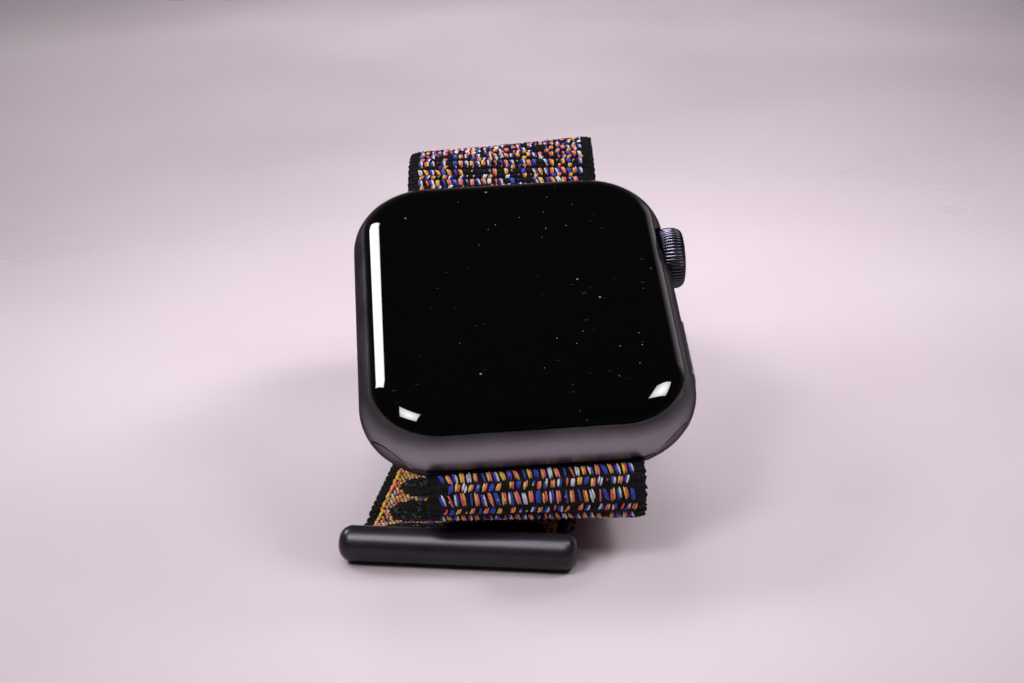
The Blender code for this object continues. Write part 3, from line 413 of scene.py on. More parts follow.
def winding_finish():
    """Copper wire in fine turns round the case's Z axis, darker in the grooves between the turns as
    painted shade. The CAD nodes lie in the world's frame.
    """
    made, place = surface("winding")
    rise = (place.part(2) - CASE_LIFT) * sin(CASE_TILT)
    radius = place.part(0).hypot(place.part(1) * cos(CASE_TILT) + rise)
    turns = (radius * 2 * pi / WINDING_PITCH).sine() * 0.5 + 0.5
    return finish(made, {
        "Metallic": 1.0,
        # Painted shade: the copper is darker in the grooves between the turns
        "Base Color": turns.colours((0.3, 0.1, 0.045, 1), (0.86, 0.42, 0.24, 1)),
        "Roughness": turns * 0.15 + 0.25,
        "Normal": turns.bump(0.4, WINDING_DEPTH),
    })


def lens_finish():
    """A green diode behind clear resin."""
    made, place = surface("diode_lens")
    grain = place.noise(2600.0)
    shade = grain.ramp(*NOISE_SPAN)
    return finish(made, {
        "Coat Weight": 0.6,
        "Base Color": shade.colours((0.02, 0.3, 0.1, 1), (0.12, 0.75, 0.32, 1)),
        "Roughness": grain * 0.15 + 0.08,
    })


def floor_finish():
    """A pale, slightly glossy table top with stray specks, which glows far off."""
    made, place = surface("table_top")
    clouds = place.noise(14.0, 3.0).ramp(*NOISE_SPAN)
    shade = clouds * 0.5 - place.specks(90.0, 0.022, 0.75) * 0.5 + 0.5
    far = place.part(0).hypot(place.part(1) - FAR_GLOW_Y).ramp(*FAR_GLOW_SPAN)
    return finish(made, {
        "Specular IOR Level": 0.4,
        "Emission Strength": 1.0,
        "Base Color": shade.colours((0.55, 0.46, 0.51, 1), (0.68, 0.598, 0.645, 1)),
        "Emission Color": far.colours(NO_COLOUR, FAR_GLOW),
        "Roughness": clouds.ramp(0.0, 1.0, 0.26, 0.36),
    })


def rounded_outline(width, length, corner=SHARP_CORNER, steps=1):
    """Points round a rectangle with round corners."""
    points = []
    for quarter, (sx, sy) in enumerate(((1, 1), (-1, 1), (-1, -1), (1, -1))):
        for step in range(steps + 1):
            angle = pi / 2 * (quarter + step / steps)
            x = sx * (width / 2 - corner) + corner * cos(angle)
            y = sy * (length / 2 - corner) + corner * sin(angle)
            points.append((x, y))
    return points


def case_outline(inset):
    size = (CASE_WIDTH - 2 * inset, CASE_LENGTH - 2 * inset)
    return rounded_outline(*size, CASE_CORNER - inset, 24)


def oblong(length, width, steps=24):
    return rounded_outline(width, length, width * OBLONG_END, steps)


def quarter_arc(count):
    """Sines and cosines from 0 to 90 degrees."""
    angles = [pi / 2 * step / count for step in range(count + 1)]
    return [(sin(angle), cos(angle)) for angle in angles]


def tube_faces(rings, sides):
    """Four-sided faces between rings of points, as numbers of points."""
    faces = []
    for first in range(0, (rings - 1) * sides, sides):
        second = first + sides
        for side in range(sides):
            after = (side + 1) % sides
            faces.append((first + side, first + after, second + after, second + side))
    return faces


def add_faces(work, points, faces):
    """Adds points and faces to a mesh in work."""
    verts = [work.verts.new(point) for point in points]
    for face in faces:
        work.faces.new([verts[index] for index in face])


def wrap_up(work, mesh):
    """Stores a mesh in work, with its faces turned outward."""
    bmesh.ops.recalc_face_normals(work, faces=work.faces)
    work.to_mesh(mesh)
    work.free()
    return mesh


def loft_mesh(rings):
    """A closed mesh through rings of points, with flat ends."""
    work = bmesh.new()
    sides = len(rings[0])
    faces = tube_faces(len(rings), sides) + [range(sides), range(-sides, 0)]
    add_faces(work, [point for ring in rings for point in ring], faces)
    return wrap_up(work, bpy.data.meshes.new("loft"))


def turned_mesh(profile, steps=96):
    """A turned body: rings for a profile of radius and height, about Z."""
    angles = [2 * pi * step / steps for step in range(steps)]
    return loft_mesh([
        [(radius * cos(angle), radius * sin(angle), height) for angle in angles]
        for radius, height in profile
    ])


def rod_mesh(radius, low, high, steps=96):
    return turned_mesh([(radius, low), (radius, high)], steps)


def plate_mesh(outline, low, high):
    """A flat plate of an outline between two heights."""
    return loft_mesh([[(x, y, height) for x, y in outline] for height in (low, high)])


def added(name, data, place=Matrix()):
    """A new object in the scene, at a place."""
    made = bpy.data.objects.new(name, data)
    bpy.context.scene.collection.objects.link(made)
    made.matrix_world = place
    return made


def carved_mesh(mesh, steps):
    """A mesh after cuts, joins or trims, each a kind, a tool's mesh and perhaps its place."""
    used = [added("carved", mesh)]
    for kind, *tool in steps:
        step = used[0].modifiers.new("carve", "BOOLEAN")
        step.operation = kind
        step.object = added("cutting_tool", *tool)
        step.solver = "MANIFOLD"
        used.append(step.object)
    bpy.context.view_layer.update()
    seen = used[0].evaluated_get(bpy.context.evaluated_depsgraph_get())
    made = bpy.data.meshes.new_from_object(seen)
    made.materials.clear()
    for one in used:
        bpy.data.objects.remove(one)
    return made


def smooth(mesh, sharp=SHARP):
    """Shades a mesh smooth, with its sharp edges kept."""
    mesh.shade_smooth()
    mesh.set_sharp_from_angle(angle=radians(sharp))
    return mesh


def piece(name, mesh, body, replaced, materials, place=Matrix()):
    """Adds a piece that rides on a body, takes a finish slot and stands for CAD nodes."""
    made = added(name, mesh, place)
    for material in materials:
        mesh.materials.append(material)
    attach(made, body)
    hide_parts(*replaced)
    return made


def weighted(made, bevel=0.0):
    """Softens edges where a bevel is given, and lets large faces rule the shading."""
    if bevel:
        edge = made.modifiers.new("edges", "BEVEL")
        edge.width = bevel
        edge.segments = 2
        edge.angle_limit = BEVEL_ANGLE
        edge.harden_normals = True
    made.modifiers.new("shading", "WEIGHTED_NORMAL").keep_sharp = True
    return made


def on_flank(y, z=0.0):
    """The place of a piece that looks out of the case at three o'clock."""
    return Matrix.Translation((0, y, z)) @ TO_FLANK


def lug_frames(end):
    """The place of the lug at one end, and the same with Z turned outward."""
    place = Matrix.Translation((0, end * LUG_Y, LUG_Z))
    return place, place @ Matrix.Rotation(-end * pi / 2, 4, "X")


def level_ring(inset, height):
    return [(x, y, height) for x, y in case_outline(inset)]


def flank_inset(angle, edge=CASE_EDGE):
    """How far the flank is drawn in at an angle."""
    return edge * (1 - cos(angle))


def flank_rings(first, last, steps=40, shrink=0.0):
    """Rings round the flank, or a shrunken one, between two angles."""
    rings = []
    edge = CASE_EDGE - shrink
    for step in range(steps + 1):
        angle = first + (last - first) * step / steps
        rings.append(level_ring(shrink + flank_inset(angle, edge), edge * sin(angle)))
    return rings


def make_case(metal):
    """The case: a shell with its cavity, its pockets and the slots for the band."""
    angle = asin((SEAM_HEIGHT - SEAM_BEVEL) / CASE_EDGE)
    rim = flank_inset(angle)
    rings = [level_ring(CASE_EDGE + FLAT_RINGS[0], -CASE_EDGE), *flank_rings(-pi / 2, angle)]
    rings += [level_ring(rim + inset, SEAM_HEIGHT) for inset in (SEAM_BEVEL, CASE_RIM)]
    crown, button = on_flank(CROWN_Y), on_flank(BUTTON_Y)
    cuts = [
        (plate_mesh(rounded_outline(*CAVITY, 24), CAVITY_FLOOR, REACH),),
        (plate_mesh(case_outline(REBATE_INSET), REBATE_FLOOR, REACH),),
        (rod_mesh(BACK_HOLE_RADIUS, -REACH, 0.0),),
        (rod_mesh(BACK_SEAT_RADIUS, -REACH, BACK_SEAT),),
        (rod_mesh(CROWN_POCKET_RADIUS, CROWN_POCKET, REACH), crown),
        (rod_mesh(CROWN_HOLE_RADIUS, 0.0, REACH, 48), crown),
        (plate_mesh(oblong(*BUTTON_POCKET_SIZE), BUTTON_POCKET, REACH), button),
        (rod_mesh(BUTTON_HOLE_RADIUS, 0.0, REACH, 32), button),
    ]
    for y in SOUND_SLOTS_Y:
        slot = plate_mesh(oblong(*SOUND_SLOT, 10), -REACH, SOUND_SLOT_INNER)
        cuts.append((slot, on_flank(y, SOUND_SLOT_Z)))
    for end in (1, -1):
        place, outward = lug_frames(end)
        cuts += [
            (rod_mesh(SLOT_RADIUS, -REACH, REACH), on_flank(end * SLOT_Y, SLOT_Z)),
            (plate_mesh(rounded_outline(2 * REACH, SLOT_MOUTH), 0.0, REACH), outward),
            (plate_mesh(rounded_outline(*RELEASE_HOLE, 10), -REACH, 0.0), place),
        ]
    mesh = smooth(carved_mesh(loft_mesh(rings), [("DIFFERENCE", *cut) for cut in cuts]))
    made = piece("case_shell", mesh, "case", ["case_body"], [metal], CASE_FRAME)
    weighted(made, CARVED_EDGE)


def make_front_glass(glass):
    """The front glass: flat in the middle, rounded over to the seam."""
    low = SEAM_HEIGHT + SEAM_GAP
    angle = asin((low + SEAM_BEVEL) / CASE_EDGE)
    rim = flank_inset(angle)
    rings = [level_ring(rim + inset, low) for inset in (GLASS_RIM, SEAM_BEVEL)]
    rings += flank_rings(angle, pi / 2, 32)
    rings += [level_ring(CASE_EDGE + inset, CASE_EDGE) for inset in FLAT_RINGS]
    mesh = smooth(loft_mesh(rings))
    made = piece("front_glass", mesh, "case", ["display_glass"], [glass], CASE_FRAME)
    weighted(made)


def make_crystal(crystal):
    upper, lower = CRYSTAL_POLES
    profile = [(upper, CRYSTAL_TOP), (CRYSTAL_PLUG, CRYSTAL_TOP)]
    profile += [(radius, CRYSTAL_FLANGE) for radius in (CRYSTAL_PLUG, CRYSTAL_RADIUS)]
    for step in range(CRYSTAL_STEPS + 1):
        share = step / CRYSTAL_STEPS
        radius = CRYSTAL_RADIUS + (CRYSTAL_FLAT - CRYSTAL_RADIUS) * share
        profile.append((radius, CRYSTAL_LOW - CRYSTAL_DOME * sin(share * pi / 2)))
    profile.append((lower, CRYSTAL_LOW - CRYSTAL_DOME))
    mesh = smooth(turned_mesh(profile, 160))
    made = piece("sensor_crystal", mesh, "case", ["back_crystal"], [crystal], CASE_FRAME)
    weighted(made)


def make_crown(dark, polish):
    """The crown's knurled knob and its domed cap."""
    shoulders = []
    for sine, cosine in quarter_arc(8):
        radius = CROWN_RADIUS - CROWN_ROUNDING * (1 - sine)
        shoulders.append((radius, CROWN_SHOULDER * (1 - cosine), CROWN_TOOTH * sine))
    # Radius, height and depth of the grooves
    profile = [(CROWN_BORE, CROWN_BORE_END, 0.0), (CROWN_BORE, CROWN_INNER, 0.0)]
    profile += [(radius, CROWN_INNER + rise, depth) for radius, rise, depth in shoulders]
    profile.append((CROWN_RADIUS + CROWN_BELLY, (CROWN_INNER + CROWN_FACE) / 2, CROWN_TOOTH))
    profile += [(radius, CROWN_FACE - rise, depth) for radius, rise, depth in shoulders[::-1]]
    profile += [(CAP_LIP, CROWN_FACE, 0.0), (CAP_LIP, CAP_SEAT - CAP_GAP, 0.0)]
    rings = [[] for _ in profile]
    points = CROWN_TEETH * TOOTH_POINTS
    for angle in (2 * pi * step / points for step in range(points)):
        groove = 1 - abs(sin(CROWN_TEETH * angle / 2)) ** TOOTH_POWER
        for ring, (radius, height, depth) in zip(rings, profile):
            reach = radius - depth * groove
            ring.append((reach * cos(angle), reach * sin(angle), height))
    place = CASE_FRAME @ on_flank(CROWN_Y)
    mesh = smooth(loft_mesh(rings), CROWN_SHARP)
    grip = piece("crown_grip", mesh, "crown", ["crown_knob"], [dark], place)
    lower, upper = CAP_POLES
    profile = [(lower, CAP_SEAT), (CAP_RADIUS, CAP_SEAT)]
    for sine, cosine in quarter_arc(12):
        profile.append((CAP_RADIUS * cosine + upper, CAP_FACE - CAP_DOME * (1 - sine)))
    mesh = smooth(turned_mesh(profile))
    piece("crown_lens", mesh, "crown", ["crown_cap"], [polish], place)
    return grip


def make_side_button(metal):
    """The side button, crowned like the flank it sits in."""
    length, width = BUTTON_SIZE

    def face(x):
        """The face's height at a distance from its middle line."""
        return BUTTON_FACE - CASE_EDGE + sqrt(CASE_EDGE**2 - x * x)

    rings = []
    for inset, drop in BUTTON_RIM:
        outline = oblong(length - 2 * inset, width - 2 * inset, 16)
        rings.append([(x, y, face(x) - drop) for x, y in outline])
    rim = rings[-1]
    rings.insert(0, [(x, y, BUTTON_INNER) for x, y, _ in rings[0]])
    rings += [[(x * share, y, face(x * share)) for x, y, _ in rim] for share in BUTTON_RINGS]
    place = CASE_FRAME @ on_flank(BUTTON_Y)
    mesh = smooth(loft_mesh(rings), BUTTON_SHARP)
    piece("button_cap", mesh, "side_button", ["side_button"], [metal], place)


def make_lug(name, end, body, materials):
    """A lug flush with the flank, with its black neck and its detent's bore."""
    place, outward = lug_frames(end)
    rod = rod_mesh(LUG_RADIUS, -REACH, REACH)
    rod.transform(on_flank(end * SLOT_Y, SLOT_Z))
    flush = loft_mesh(flank_rings(-pi / 2, pi / 2, 60, LUG_SUNK))
    throat = rounded_outline(STRAP_WIDTH + NECK_SLACK, 4 * LUG_TONGUE)
    tongue = rounded_outline(2 * REACH, LUG_TONGUE)
    neck = rounded_outline(STRAP_WIDTH, LUG_NECK, NECK_CORNER, 6)
    mesh = smooth(carved_mesh(rod, [
        ("UNION", plate_mesh(tongue, 0.0, REACH), outward),
        ("INTERSECT", flush),
        ("DIFFERENCE", plate_mesh(throat, LUG_THROAT, REACH), outward),
        ("UNION", plate_mesh(neck, 0.0, LUG_NECK_END - LUG_Y), outward),
        ("DIFFERENCE", rod_mesh(DETENT_BORE, -REACH, DETENT_BORE_TOP - LUG_Z, 32), place),
    ]))
    across, along = NECK_MARGIN
    for face in mesh.polygons:
        out = end * face.center.y > LUG_Y + LUG_THROAT + along
        if out and abs(face.center.x) < HALF_STRAP + across:
            face.material_index = 1
    made = piece("lug_body_" + name, mesh, body, ["lug_" + name], materials, CASE_FRAME)
    weighted(made, CARVED_EDGE)


def make_end_bar(gloss):
    """The long strap's end bar, with domed ends and the strap's slot."""
    half = BAR_LENGTH / 2
    profile = [(BAR_POLE, half)]
    for sine, cosine in quarter_arc(16)[1:]:
        radius = BAR_RADIUS - BAR_DOME + BAR_DOME * sine
        profile.append((radius, half - BAR_DOME + BAR_DOME * cosine))
    profile += [(radius, -height) for radius, height in reversed(profile)]
    bar = turned_mesh(profile)
    bar.transform(TO_FLANK)
    slot = rounded_outline(STRAP_WIDTH + BAR_SLACK, STRAP_ROOT + BAR_SLACK, BAR_SLOT_CORNER, 6)
    floor = Matrix.Translation((0, BAR_RADIUS - BAR_SLOT - BAR_SLOT_GAP, 0))
    backward = floor @ Matrix.Rotation(-pi / 2, 4, "X")
    mesh = smooth(carved_mesh(bar, [("DIFFERENCE", plate_mesh(slot, 0.0, REACH), backward)]))
    where = Matrix.Translation((*BAR_PLACE, BAR_RADIUS)) @ Matrix.Rotation(BAR_YAW, 4, "Z")
    made = piece("closing_bar", mesh, "long_strap", ["end_bar"], [gloss], where)
    return weighted(made, CARVED_EDGE)


def ease(share):
    """A share from 0 to 1 that starts and stops gently."""
    return share * share * (3 - 2 * share)


def jitter(reach):
    """A random number, below 0 or above it."""
    return chance.uniform(-reach, reach)


def drawn(strand):
    """A strand's size, with its height drawn from its range."""
    *size, heights = strand
    return (*size, chance.uniform(*heights) * MM)


def strand_template():
    """A strand along its first axis: arched, fat in the middle, with its ends tucked in."""
    taper, arch, tuck, thickness = STRAND_SHAPE
    points = []
    for t in STRAND_RINGS:
        radius = sqrt(1.0 - taper * t * t)
        for side in range(STRAND_SIDES):
            angle = 2 * pi * side / STRAND_SIDES
            height = arch * (1 - t * t) - tuck * t * t + thickness * radius * sin(angle)
            points.append((t, radius * cos(angle), height))
    faces = tube_faces(len(STRAND_RINGS), STRAND_SIDES) + [(3, 2, 1, 0), (5, 4, 3, 0)]
    last = len(points) - STRAND_SIDES
    faces += [(last, last + 1, last + 2, last + 3), (last, last + 3, last + 4, last + 5)]
    return np.array(points), np.array(faces)


def unit(rows):
    """Vectors in rows, each made one long."""
    return rows / np.linalg.norm(rows, axis=1)[:, None]


class Strap:
    """A strap's middle line in the Y Z plane, its frames, and the strands laid on its faces."""

    def __init__(self, y, z, heading):
        self.line = [np.array((y, z))]
        self.heading = heading
        self.strands = []
        self.colours = []

    def straight(self, length):
        """Adds a straight run along the heading."""
        step = np.array((cos(self.heading), sin(self.heading)))
        count = max(2, int(length / ROUTE_STEP))
        first = self.line[-1]
        self.line += [first + step * length * share / count for share in range(1, count + 1)]

    def arc(self, radius, turn):
        """Adds an arc, to the left for a positive turn."""
        reach = copysign(radius, turn)
        count = max(12, int(abs(turn) * radius / ROUTE_STEP))
        angles = [self.heading + turn * step / count for step in range(count + 1)]
        arms = [np.array((sin(angle), -cos(angle))) * reach for angle in angles]
        centre = self.line[-1] - arms[0]
        self.line += [centre + arm for arm in arms[1:]]
        self.heading += turn

    def steps(self):
        return np.linalg.norm(np.diff(self.line, axis=0), axis=1)

    def length(self):
        return float(self.steps().sum())

    def settle(self, thickness, shift=lambda s: 0, roll=lambda s: 0, dip=lambda s: 0):
        """Works out the frames along the finished line from what varies along it."""
        self.along = np.append(0.0, np.cumsum(self.steps()))
        shifts, rolls, dips, depths = (
            np.array([value(s) for s in self.along])[:, None]
            for value in (shift, roll, dip, thickness)
        )
        middle = np.hstack((shifts, self.line))
        forward = unit(np.gradient(middle, self.along, axis=0))
        across = unit(np.array((1.0, 0.0, 0.0)) - forward * forward[:, :1])
        sunk = np.sin(dips) * np.array((0.0, 0.0, -1.0))
        across = across * np.cos(rolls) + np.cross(across, forward) * np.sin(rolls) + sunk
        up = unit(np.cross(across, forward))
        middle += sunk * HALF_STRAP
        self.frames = np.hstack((middle, forward, across, up, depths / 2))

    def at(self, s):
        """Middle, ways forward, across and up, and half the thickness at a distance."""
        row = np.array([np.interp(s, self.along, column) for column in self.frames.T])
        return row[:3], row[3:6], row[6:9], row[9:12], row[12]

    def point(self, s, x, side, rise):
        """A point on one face, with the ways along and out of it there."""
        middle, forward, across, up, half = self.at(s)
        depth = half - CORE_SKIN
        edge = min((SELVAGE_THICKNESS - CORE_SKIN) / 2, depth)
        share = max((abs(x) - HALF_STRAP + SELVAGE) / SELVAGE, 0.0)
        depth += (edge - depth) * share * share
        return middle + across * x + up * side * (depth + rise), forward, up * side

    def lay(self, place, along, out, size, colour, lean=0.0):
        """Lays a strand of a length, width and height, which leans sideways by an angle."""
        length, width, height = size
        along = along * cos(lean) + np.cross(out, along) * sin(lean)
        across = np.cross(out, along)
        self.strands.append((place, along * length / 2, across * width / 2, out * height))
        self.colours.append(colour)

    def sew(self, s, x, side, rise, size, colour, lean):
        """Lays a strand on a face, at a distance along the strap and a place across it."""
        self.lay(*self.point(s, x, side, rise), size, colour, lean)

    def mesh(self, core_points, core_faces):
        """The black cloth and the strands on it as one mesh."""
        points, faces = strand_template()
        frames = np.array(self.strands)
        strands = frames[:, :1] + np.einsum("pk,nkd->npd", points, frames[:, 1:])
        offsets = len(core_points) + np.arange(len(frames)) * len(points)
        colours = [np.full(len(core_faces), BLACK), np.repeat(self.colours, len(faces))]
        faces = np.concatenate((core_faces, (faces + offsets[:, None, None]).reshape(-1, 4)))
        points = np.concatenate((core_points, strands.reshape(-1, 3)))
        mesh = bpy.data.meshes.new("yarns")
        mesh.from_pydata(points, [], faces)
        mesh.polygons.foreach_set("material_index", np.concatenate(colours))
        mesh.shade_smooth()
        return mesh


def pad_share(s, x, pads):
    """How far up the nearest pad's mound a place lies: 0 outside it, 1 on its top."""
    if not len(pads):
        return 0.0
    reach = min(abs(s - middle) for middle in pads)
    beyond = max(abs(x) - PAD_HALF_WIDTH + PAD_HALF_LENGTH, 0.0)
    distance = hypot(reach, beyond) / PAD_HALF_LENGTH
    return min(max(1.0 - distance, 0.0) * PAD_STEEPNESS, 1.0)


def core_cloth(strap, pile_side, pads):
    """The closed cloth under the strands, with the pads' mounds on its pile side."""
    last = strap.length()
    count = int(last / CORE_STEP)
    edge = HALF_STRAP - CORE_INSET
    columns = np.linspace(-edge, edge, CORE_COLUMNS)
    points = []
    for step in range(count + 1):
        s = last * step / count
        for side in (1, -1):
            for x in columns[::side]:
                rise = PAD_HEIGHT * pad_share(s, x, pads) if side == pile_side else 0.0
                points.append(strap.point(s, x, side, rise)[0])
    ring = 2 * CORE_COLUMNS
    faces = [(a, d, c, b) for a, b, c, d in tube_faces(count + 1, ring)]
    end = count * ring
    for index in range(CORE_COLUMNS - 1):
        other = ring - 1 - index
        faces.append((index, index + 1, other - 1, other))
        faces.append((end + other, end + other - 1, end + index + 1, end + index))
    return np.array(points), np.array(faces)


def knit_face(strap, side, first, last, bare):
    """Rows of coloured stitches between black ribs. A share is bare black, more in short rows."""
    s = first
    row = 0
    wales = int((HALF_STRAP - SELVAGE) / WALE_PITCH)
    rib_length, *rib = RIB
    while s + TALL_ROW < last:
        tall = row % 2 == 0
        length = TALL_ROW if tall else SHORT_ROW
        middle = s + length / 2
        offset = 0.0 if tall else WALE_PITCH / 4
        for wale in range(-wales, wales + 1):
            x = wale * WALE_PITCH + offset
            lean = (0.2 if tall else -0.3) + jitter(0.2)
            pair = chance.choice(WARM if (wale + row) % 2 else COOL)
            if chance.random() < (bare if tall else SHORT_ROW_BARE * bare):
                pair = (BLACK, BLACK)
            for shift, colour in zip((-PLY_SHIFT, PLY_SHIFT), pair):
                across = x + (shift + jitter(0.03)) * MM
                along = middle + jitter(0.1) * MM
                units = (length, MM, MM)
                size = [chance.uniform(*span) * unit for span, unit in zip(STITCH, units)]
                strap.sew(along, across, side, STITCH_SUNK, size, colour, lean)
            if chance.random() < CROSSINGS:
                across = x + jitter(0.1) * MM
                colour = chance.choice(CROSSING_COLOURS)
                strap.sew(middle, across, side, TOP_SUNK, CROSSING, colour, jitter(1.0))
            size = (length * rib_length, *rib)
            strap.sew(middle, x + WALE_PITCH / 2, side, STITCH_SUNK, size, BLACK, jitter(0.1))
        s += length + ROW_GAP
        row += 1


def woven_edges(strap, last):
    """The black ribbed selvages, on both faces and round the edge."""
    for step in range(int(last / SELVAGE_PITCH)):
        s = (step + 0.5) * SELVAGE_PITCH
        for edge in (-1, 1):
            for inset in SELVAGE_ROWS:
                for side in (-1, 1):
                    x = edge * (HALF_STRAP - inset)
                    along = s + jitter(0.06) * MM
                    lean = edge * (0.5 if step % 2 else -0.5) + jitter(0.15)
                    strap.sew(along, x, side, SELVAGE_SUNK, drawn(EDGE_RIB), BLACK, lean)
            middle, _, across, up, _ = strap.at(s)
            hem = middle + across * edge * (HALF_STRAP - HEM_INSET)
            strap.lay(hem, up, across * edge, HEM, BLACK)


def pile_face(strap, side, last, pads):
    """The looped face: black tufts on pads, coloured loops between, a bright line at each edge."""
    columns = int((HALF_STRAP - SELVAGE - PILE_INSET) / PILE_PITCH)
    for row in range(int((last - PILE_START) / PILE_ROW)):
        s = PILE_START + (row + 0.5) * PILE_ROW
        for column in range(-columns, columns + 1):
            x = (column + 0.5 * (row % 2)) * PILE_PITCH + jitter(0.05) * MM
            share = pad_share(s, x, pads)
            if share > 0.0 or not len(pads):
                lean = (0.75 if row % 2 else -0.75) + jitter(0.2)
                size = drawn(TUFT)
                colour = chance.choice(TUFT_COLOURS)
            else:
                lean = jitter(0.7)
                colour = chance.choice(LOOP_COLOURS)
                size = drawn(LOOP)
            strap.sew(s, x, side, PAD_HEIGHT * share + STITCH_SUNK, size, colour, lean)
        for edge in (-1, 1):
            x = edge * (HALF_STRAP - SELVAGE - chance.uniform(*EDGE_STRAND_INSET) * MM)
            colour = chance.choice(EDGE_COLOURS)
            strap.sew(s, x, side, TOP_SUNK, EDGE_STRAND, colour, jitter(0.3))


def woven_mesh(strap, front, first, last, bare, pads=()):
    """A strap's mesh: stitches in front, pile behind and selvages at the edges."""
    knit_face(strap, front, first, last, bare)
    pile_face(strap, -front, last, pads)
    woven_edges(strap, last)
    return strap.mesh(*core_cloth(strap, -front, pads))


def in_world(y, z):
    """A point of the case's middle plane, as distance and height in the world."""
    place = CASE_FRAME @ Vector((0, y, z))
    return place.y, place.z


def root_thickness(s, taper=TAPER_LENGTH):
    """A strap's thickness near a root, rising to its full thickness."""
    return STRAP_ROOT + (STRAP_THICKNESS - STRAP_ROOT) * min(max(s / taper, 0.0), 1.0)


def make_long_strap(materials):
    """The long strap: back from the case, down in a loop, and forward to its bar."""
    half = STRAP_THICKNESS / 2
    slope = tan(-BAR_YAW)
    strap = Strap(*in_world(STRAP_START, LUG_Z), CASE_TILT)
    strap.straight(LONG_STRAIGHT)
    strap.arc(LOOP_RADIUS, -pi / 2 - CASE_TILT)
    strap.arc(strap.line[-1][1] - half, -pi / 2)
    loop_end = strap.length()
    loop_y = strap.line[-1][0]
    landed_x = BAR_PLACE[0] + slope * (loop_y - BAR_PLACE[1])
    tongue_end = BAR_PLACE[1] + (BAR_RADIUS - BAR_SLOT) * cos(BAR_YAW)
    bar_back = BAR_PLACE[1] + (BAR_RADIUS + BAR_GAP) * cos(BAR_YAW)
    rise_from = bar_back + BAR_RISE
    strap.straight(loop_y - rise_from)
    for step in range(1, BAR_RISE_STEPS + 1):
        share = step / BAR_RISE_STEPS
        height = half + (BAR_RADIUS - half) * ease(share)
        strap.line.append(np.array((rise_from - BAR_RISE * share, height)))
    thinned = strap.length()
    strap.straight(bar_back - tongue_end)

    def thickness(s):
        return min(root_thickness(s), root_thickness(thinned - s, BAR_RISE))

    def shift(s):
        """Sideways place: straight at the case, then over to the bar's line."""
        if s >= loop_end:
            return landed_x - slope * (s - loop_end)
        share = s / loop_end
        return landed_x * ease(share) - slope * loop_end * (share - 1) * share**2

    def roll(s):
        """The loop leans over: its three o'clock edge is the higher one."""
        return LOOP_ROLL * sin(pi * min(s / loop_end, 1.0)) ** 2

    strap.settle(thickness, shift, roll)
    pads = np.arange(thinned - PAD_PHASE, 2 * PAD_PITCH, -PAD_PITCH)
    mesh = woven_mesh(strap, 1, LONG_FIRST, thinned, LONG_BARE, pads)
    piece("long_strap_weave", mesh, "long_strap", ["long_strap"], materials)


def make_short_strap(materials):
    """The short strap: folded under, and down flat on the long strap."""
    strap = Strap(*in_world(-STRAP_START, LUG_Z), pi + CASE_TILT)
    strap.straight(SHORT_STRAIGHT)
    strap.arc(FOLD_RADIUS, pi - CASE_TILT - FOLD_SLOPE)
    drop = strap.line[-1][1] - SHORT_MIDDLE - LANDING_RADIUS * (1 - cos(FOLD_SLOPE))
    strap.straight(drop / sin(FOLD_SLOPE))
    strap.arc(LANDING_RADIUS, FOLD_SLOPE)
    strap.straight(SHORT_LANDED)

    def dip(s):
        """The fold hangs lower at its three o'clock edge."""
        full, gone = FOLD_DIP_ENDS
        return FOLD_DIP * ease(s / full if s < full else max((gone - s) / (gone - full), 0.0))

    strap.settle(root_thickness, dip=dip)
    mesh = woven_mesh(strap, -1, SHORT_FIRST, strap.length(), SHORT_BARE)
    piece("short_strap_weave", mesh, "short_strap", ["short_strap"], materials)


def make_hook_patch(hook):
    """The hook tape under the short strap: a backing with rows of small hooks."""
    low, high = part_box("hook_patch")
    wide, long, _ = high - low
    middle = (low + high) / 2
    middle.z = 0.0
    backing = (low.z + 2 * high.z) / 3
    upper, lower = high.z - PATCH_EDGES[0], backing - PATCH_EDGES[1]
    rings = []
    for inset, z in ((PATCH_RIM, high.z), (0.0, upper), (0.0, backing), (PATCH_RIM, lower)):
        outline = rounded_outline(wide - 2 * inset, long - 2 * inset, PATCH_CORNER, 6)
        rings.append([(x, y, z) for x, y in outline])
    mesh = smooth(loft_mesh(rings))
    points, faces = strand_template()
    work = bmesh.new()
    work.from_mesh(mesh)
    rows, columns = (int(size / 2 / PATCH_PITCH) - 1 for size in (long, wide))
    for row in range(-rows, rows + 1):
        for column in range(-columns, columns + 1):
            x = (column + 0.5 * (row % 2)) * PATCH_PITCH
            y = row * PATCH_PITCH
            reach = HOOK_LENGTH / 2 * (1 if column % 2 else -1)
            scale = np.array((HOOK_WIDTH, reach, low.z - backing))
            add_faces(work, points[:, (1, 0, 2)] * scale + (x, y, backing), faces)
    wrap_up(work, mesh).shade_smooth()
    place = Matrix.Translation(middle)
    piece("hook_tape", mesh, "short_strap", ["hook_patch"], [hook], place)


def make_table():
    mesh = bpy.data.meshes.new("table_top")
    half = FLOOR_SIZE / 2
    corners = [(-half, -half, 0), (half, -half, 0), (half, half, 0), (-half, half, 0)]
    mesh.from_pydata(corners, [], [(0, 1, 2, 3)])
    made = added("table_top", mesh)
    mesh.materials.append(floor_finish())


def area_light(name, size, radiance, place, away, spread):
    """A rectangular light with a grid, which shines against a direction."""
    half = radians(spread / 2)
    light = bpy.data.lights.new(name, "AREA")
    light.shape = "RECTANGLE"
    light.size, light.size_y = size
    light.spread = 2 * half
    light.energy = radiance * pi * size[0] * size[1] * (1 - half / tan(half))
    light.color = LIGHT_COLOUR
    turn = away.to_track_quat("Z", "Y").to_matrix().to_4x4()
    return added(name, light, Matrix.Translation(place) @ turn)


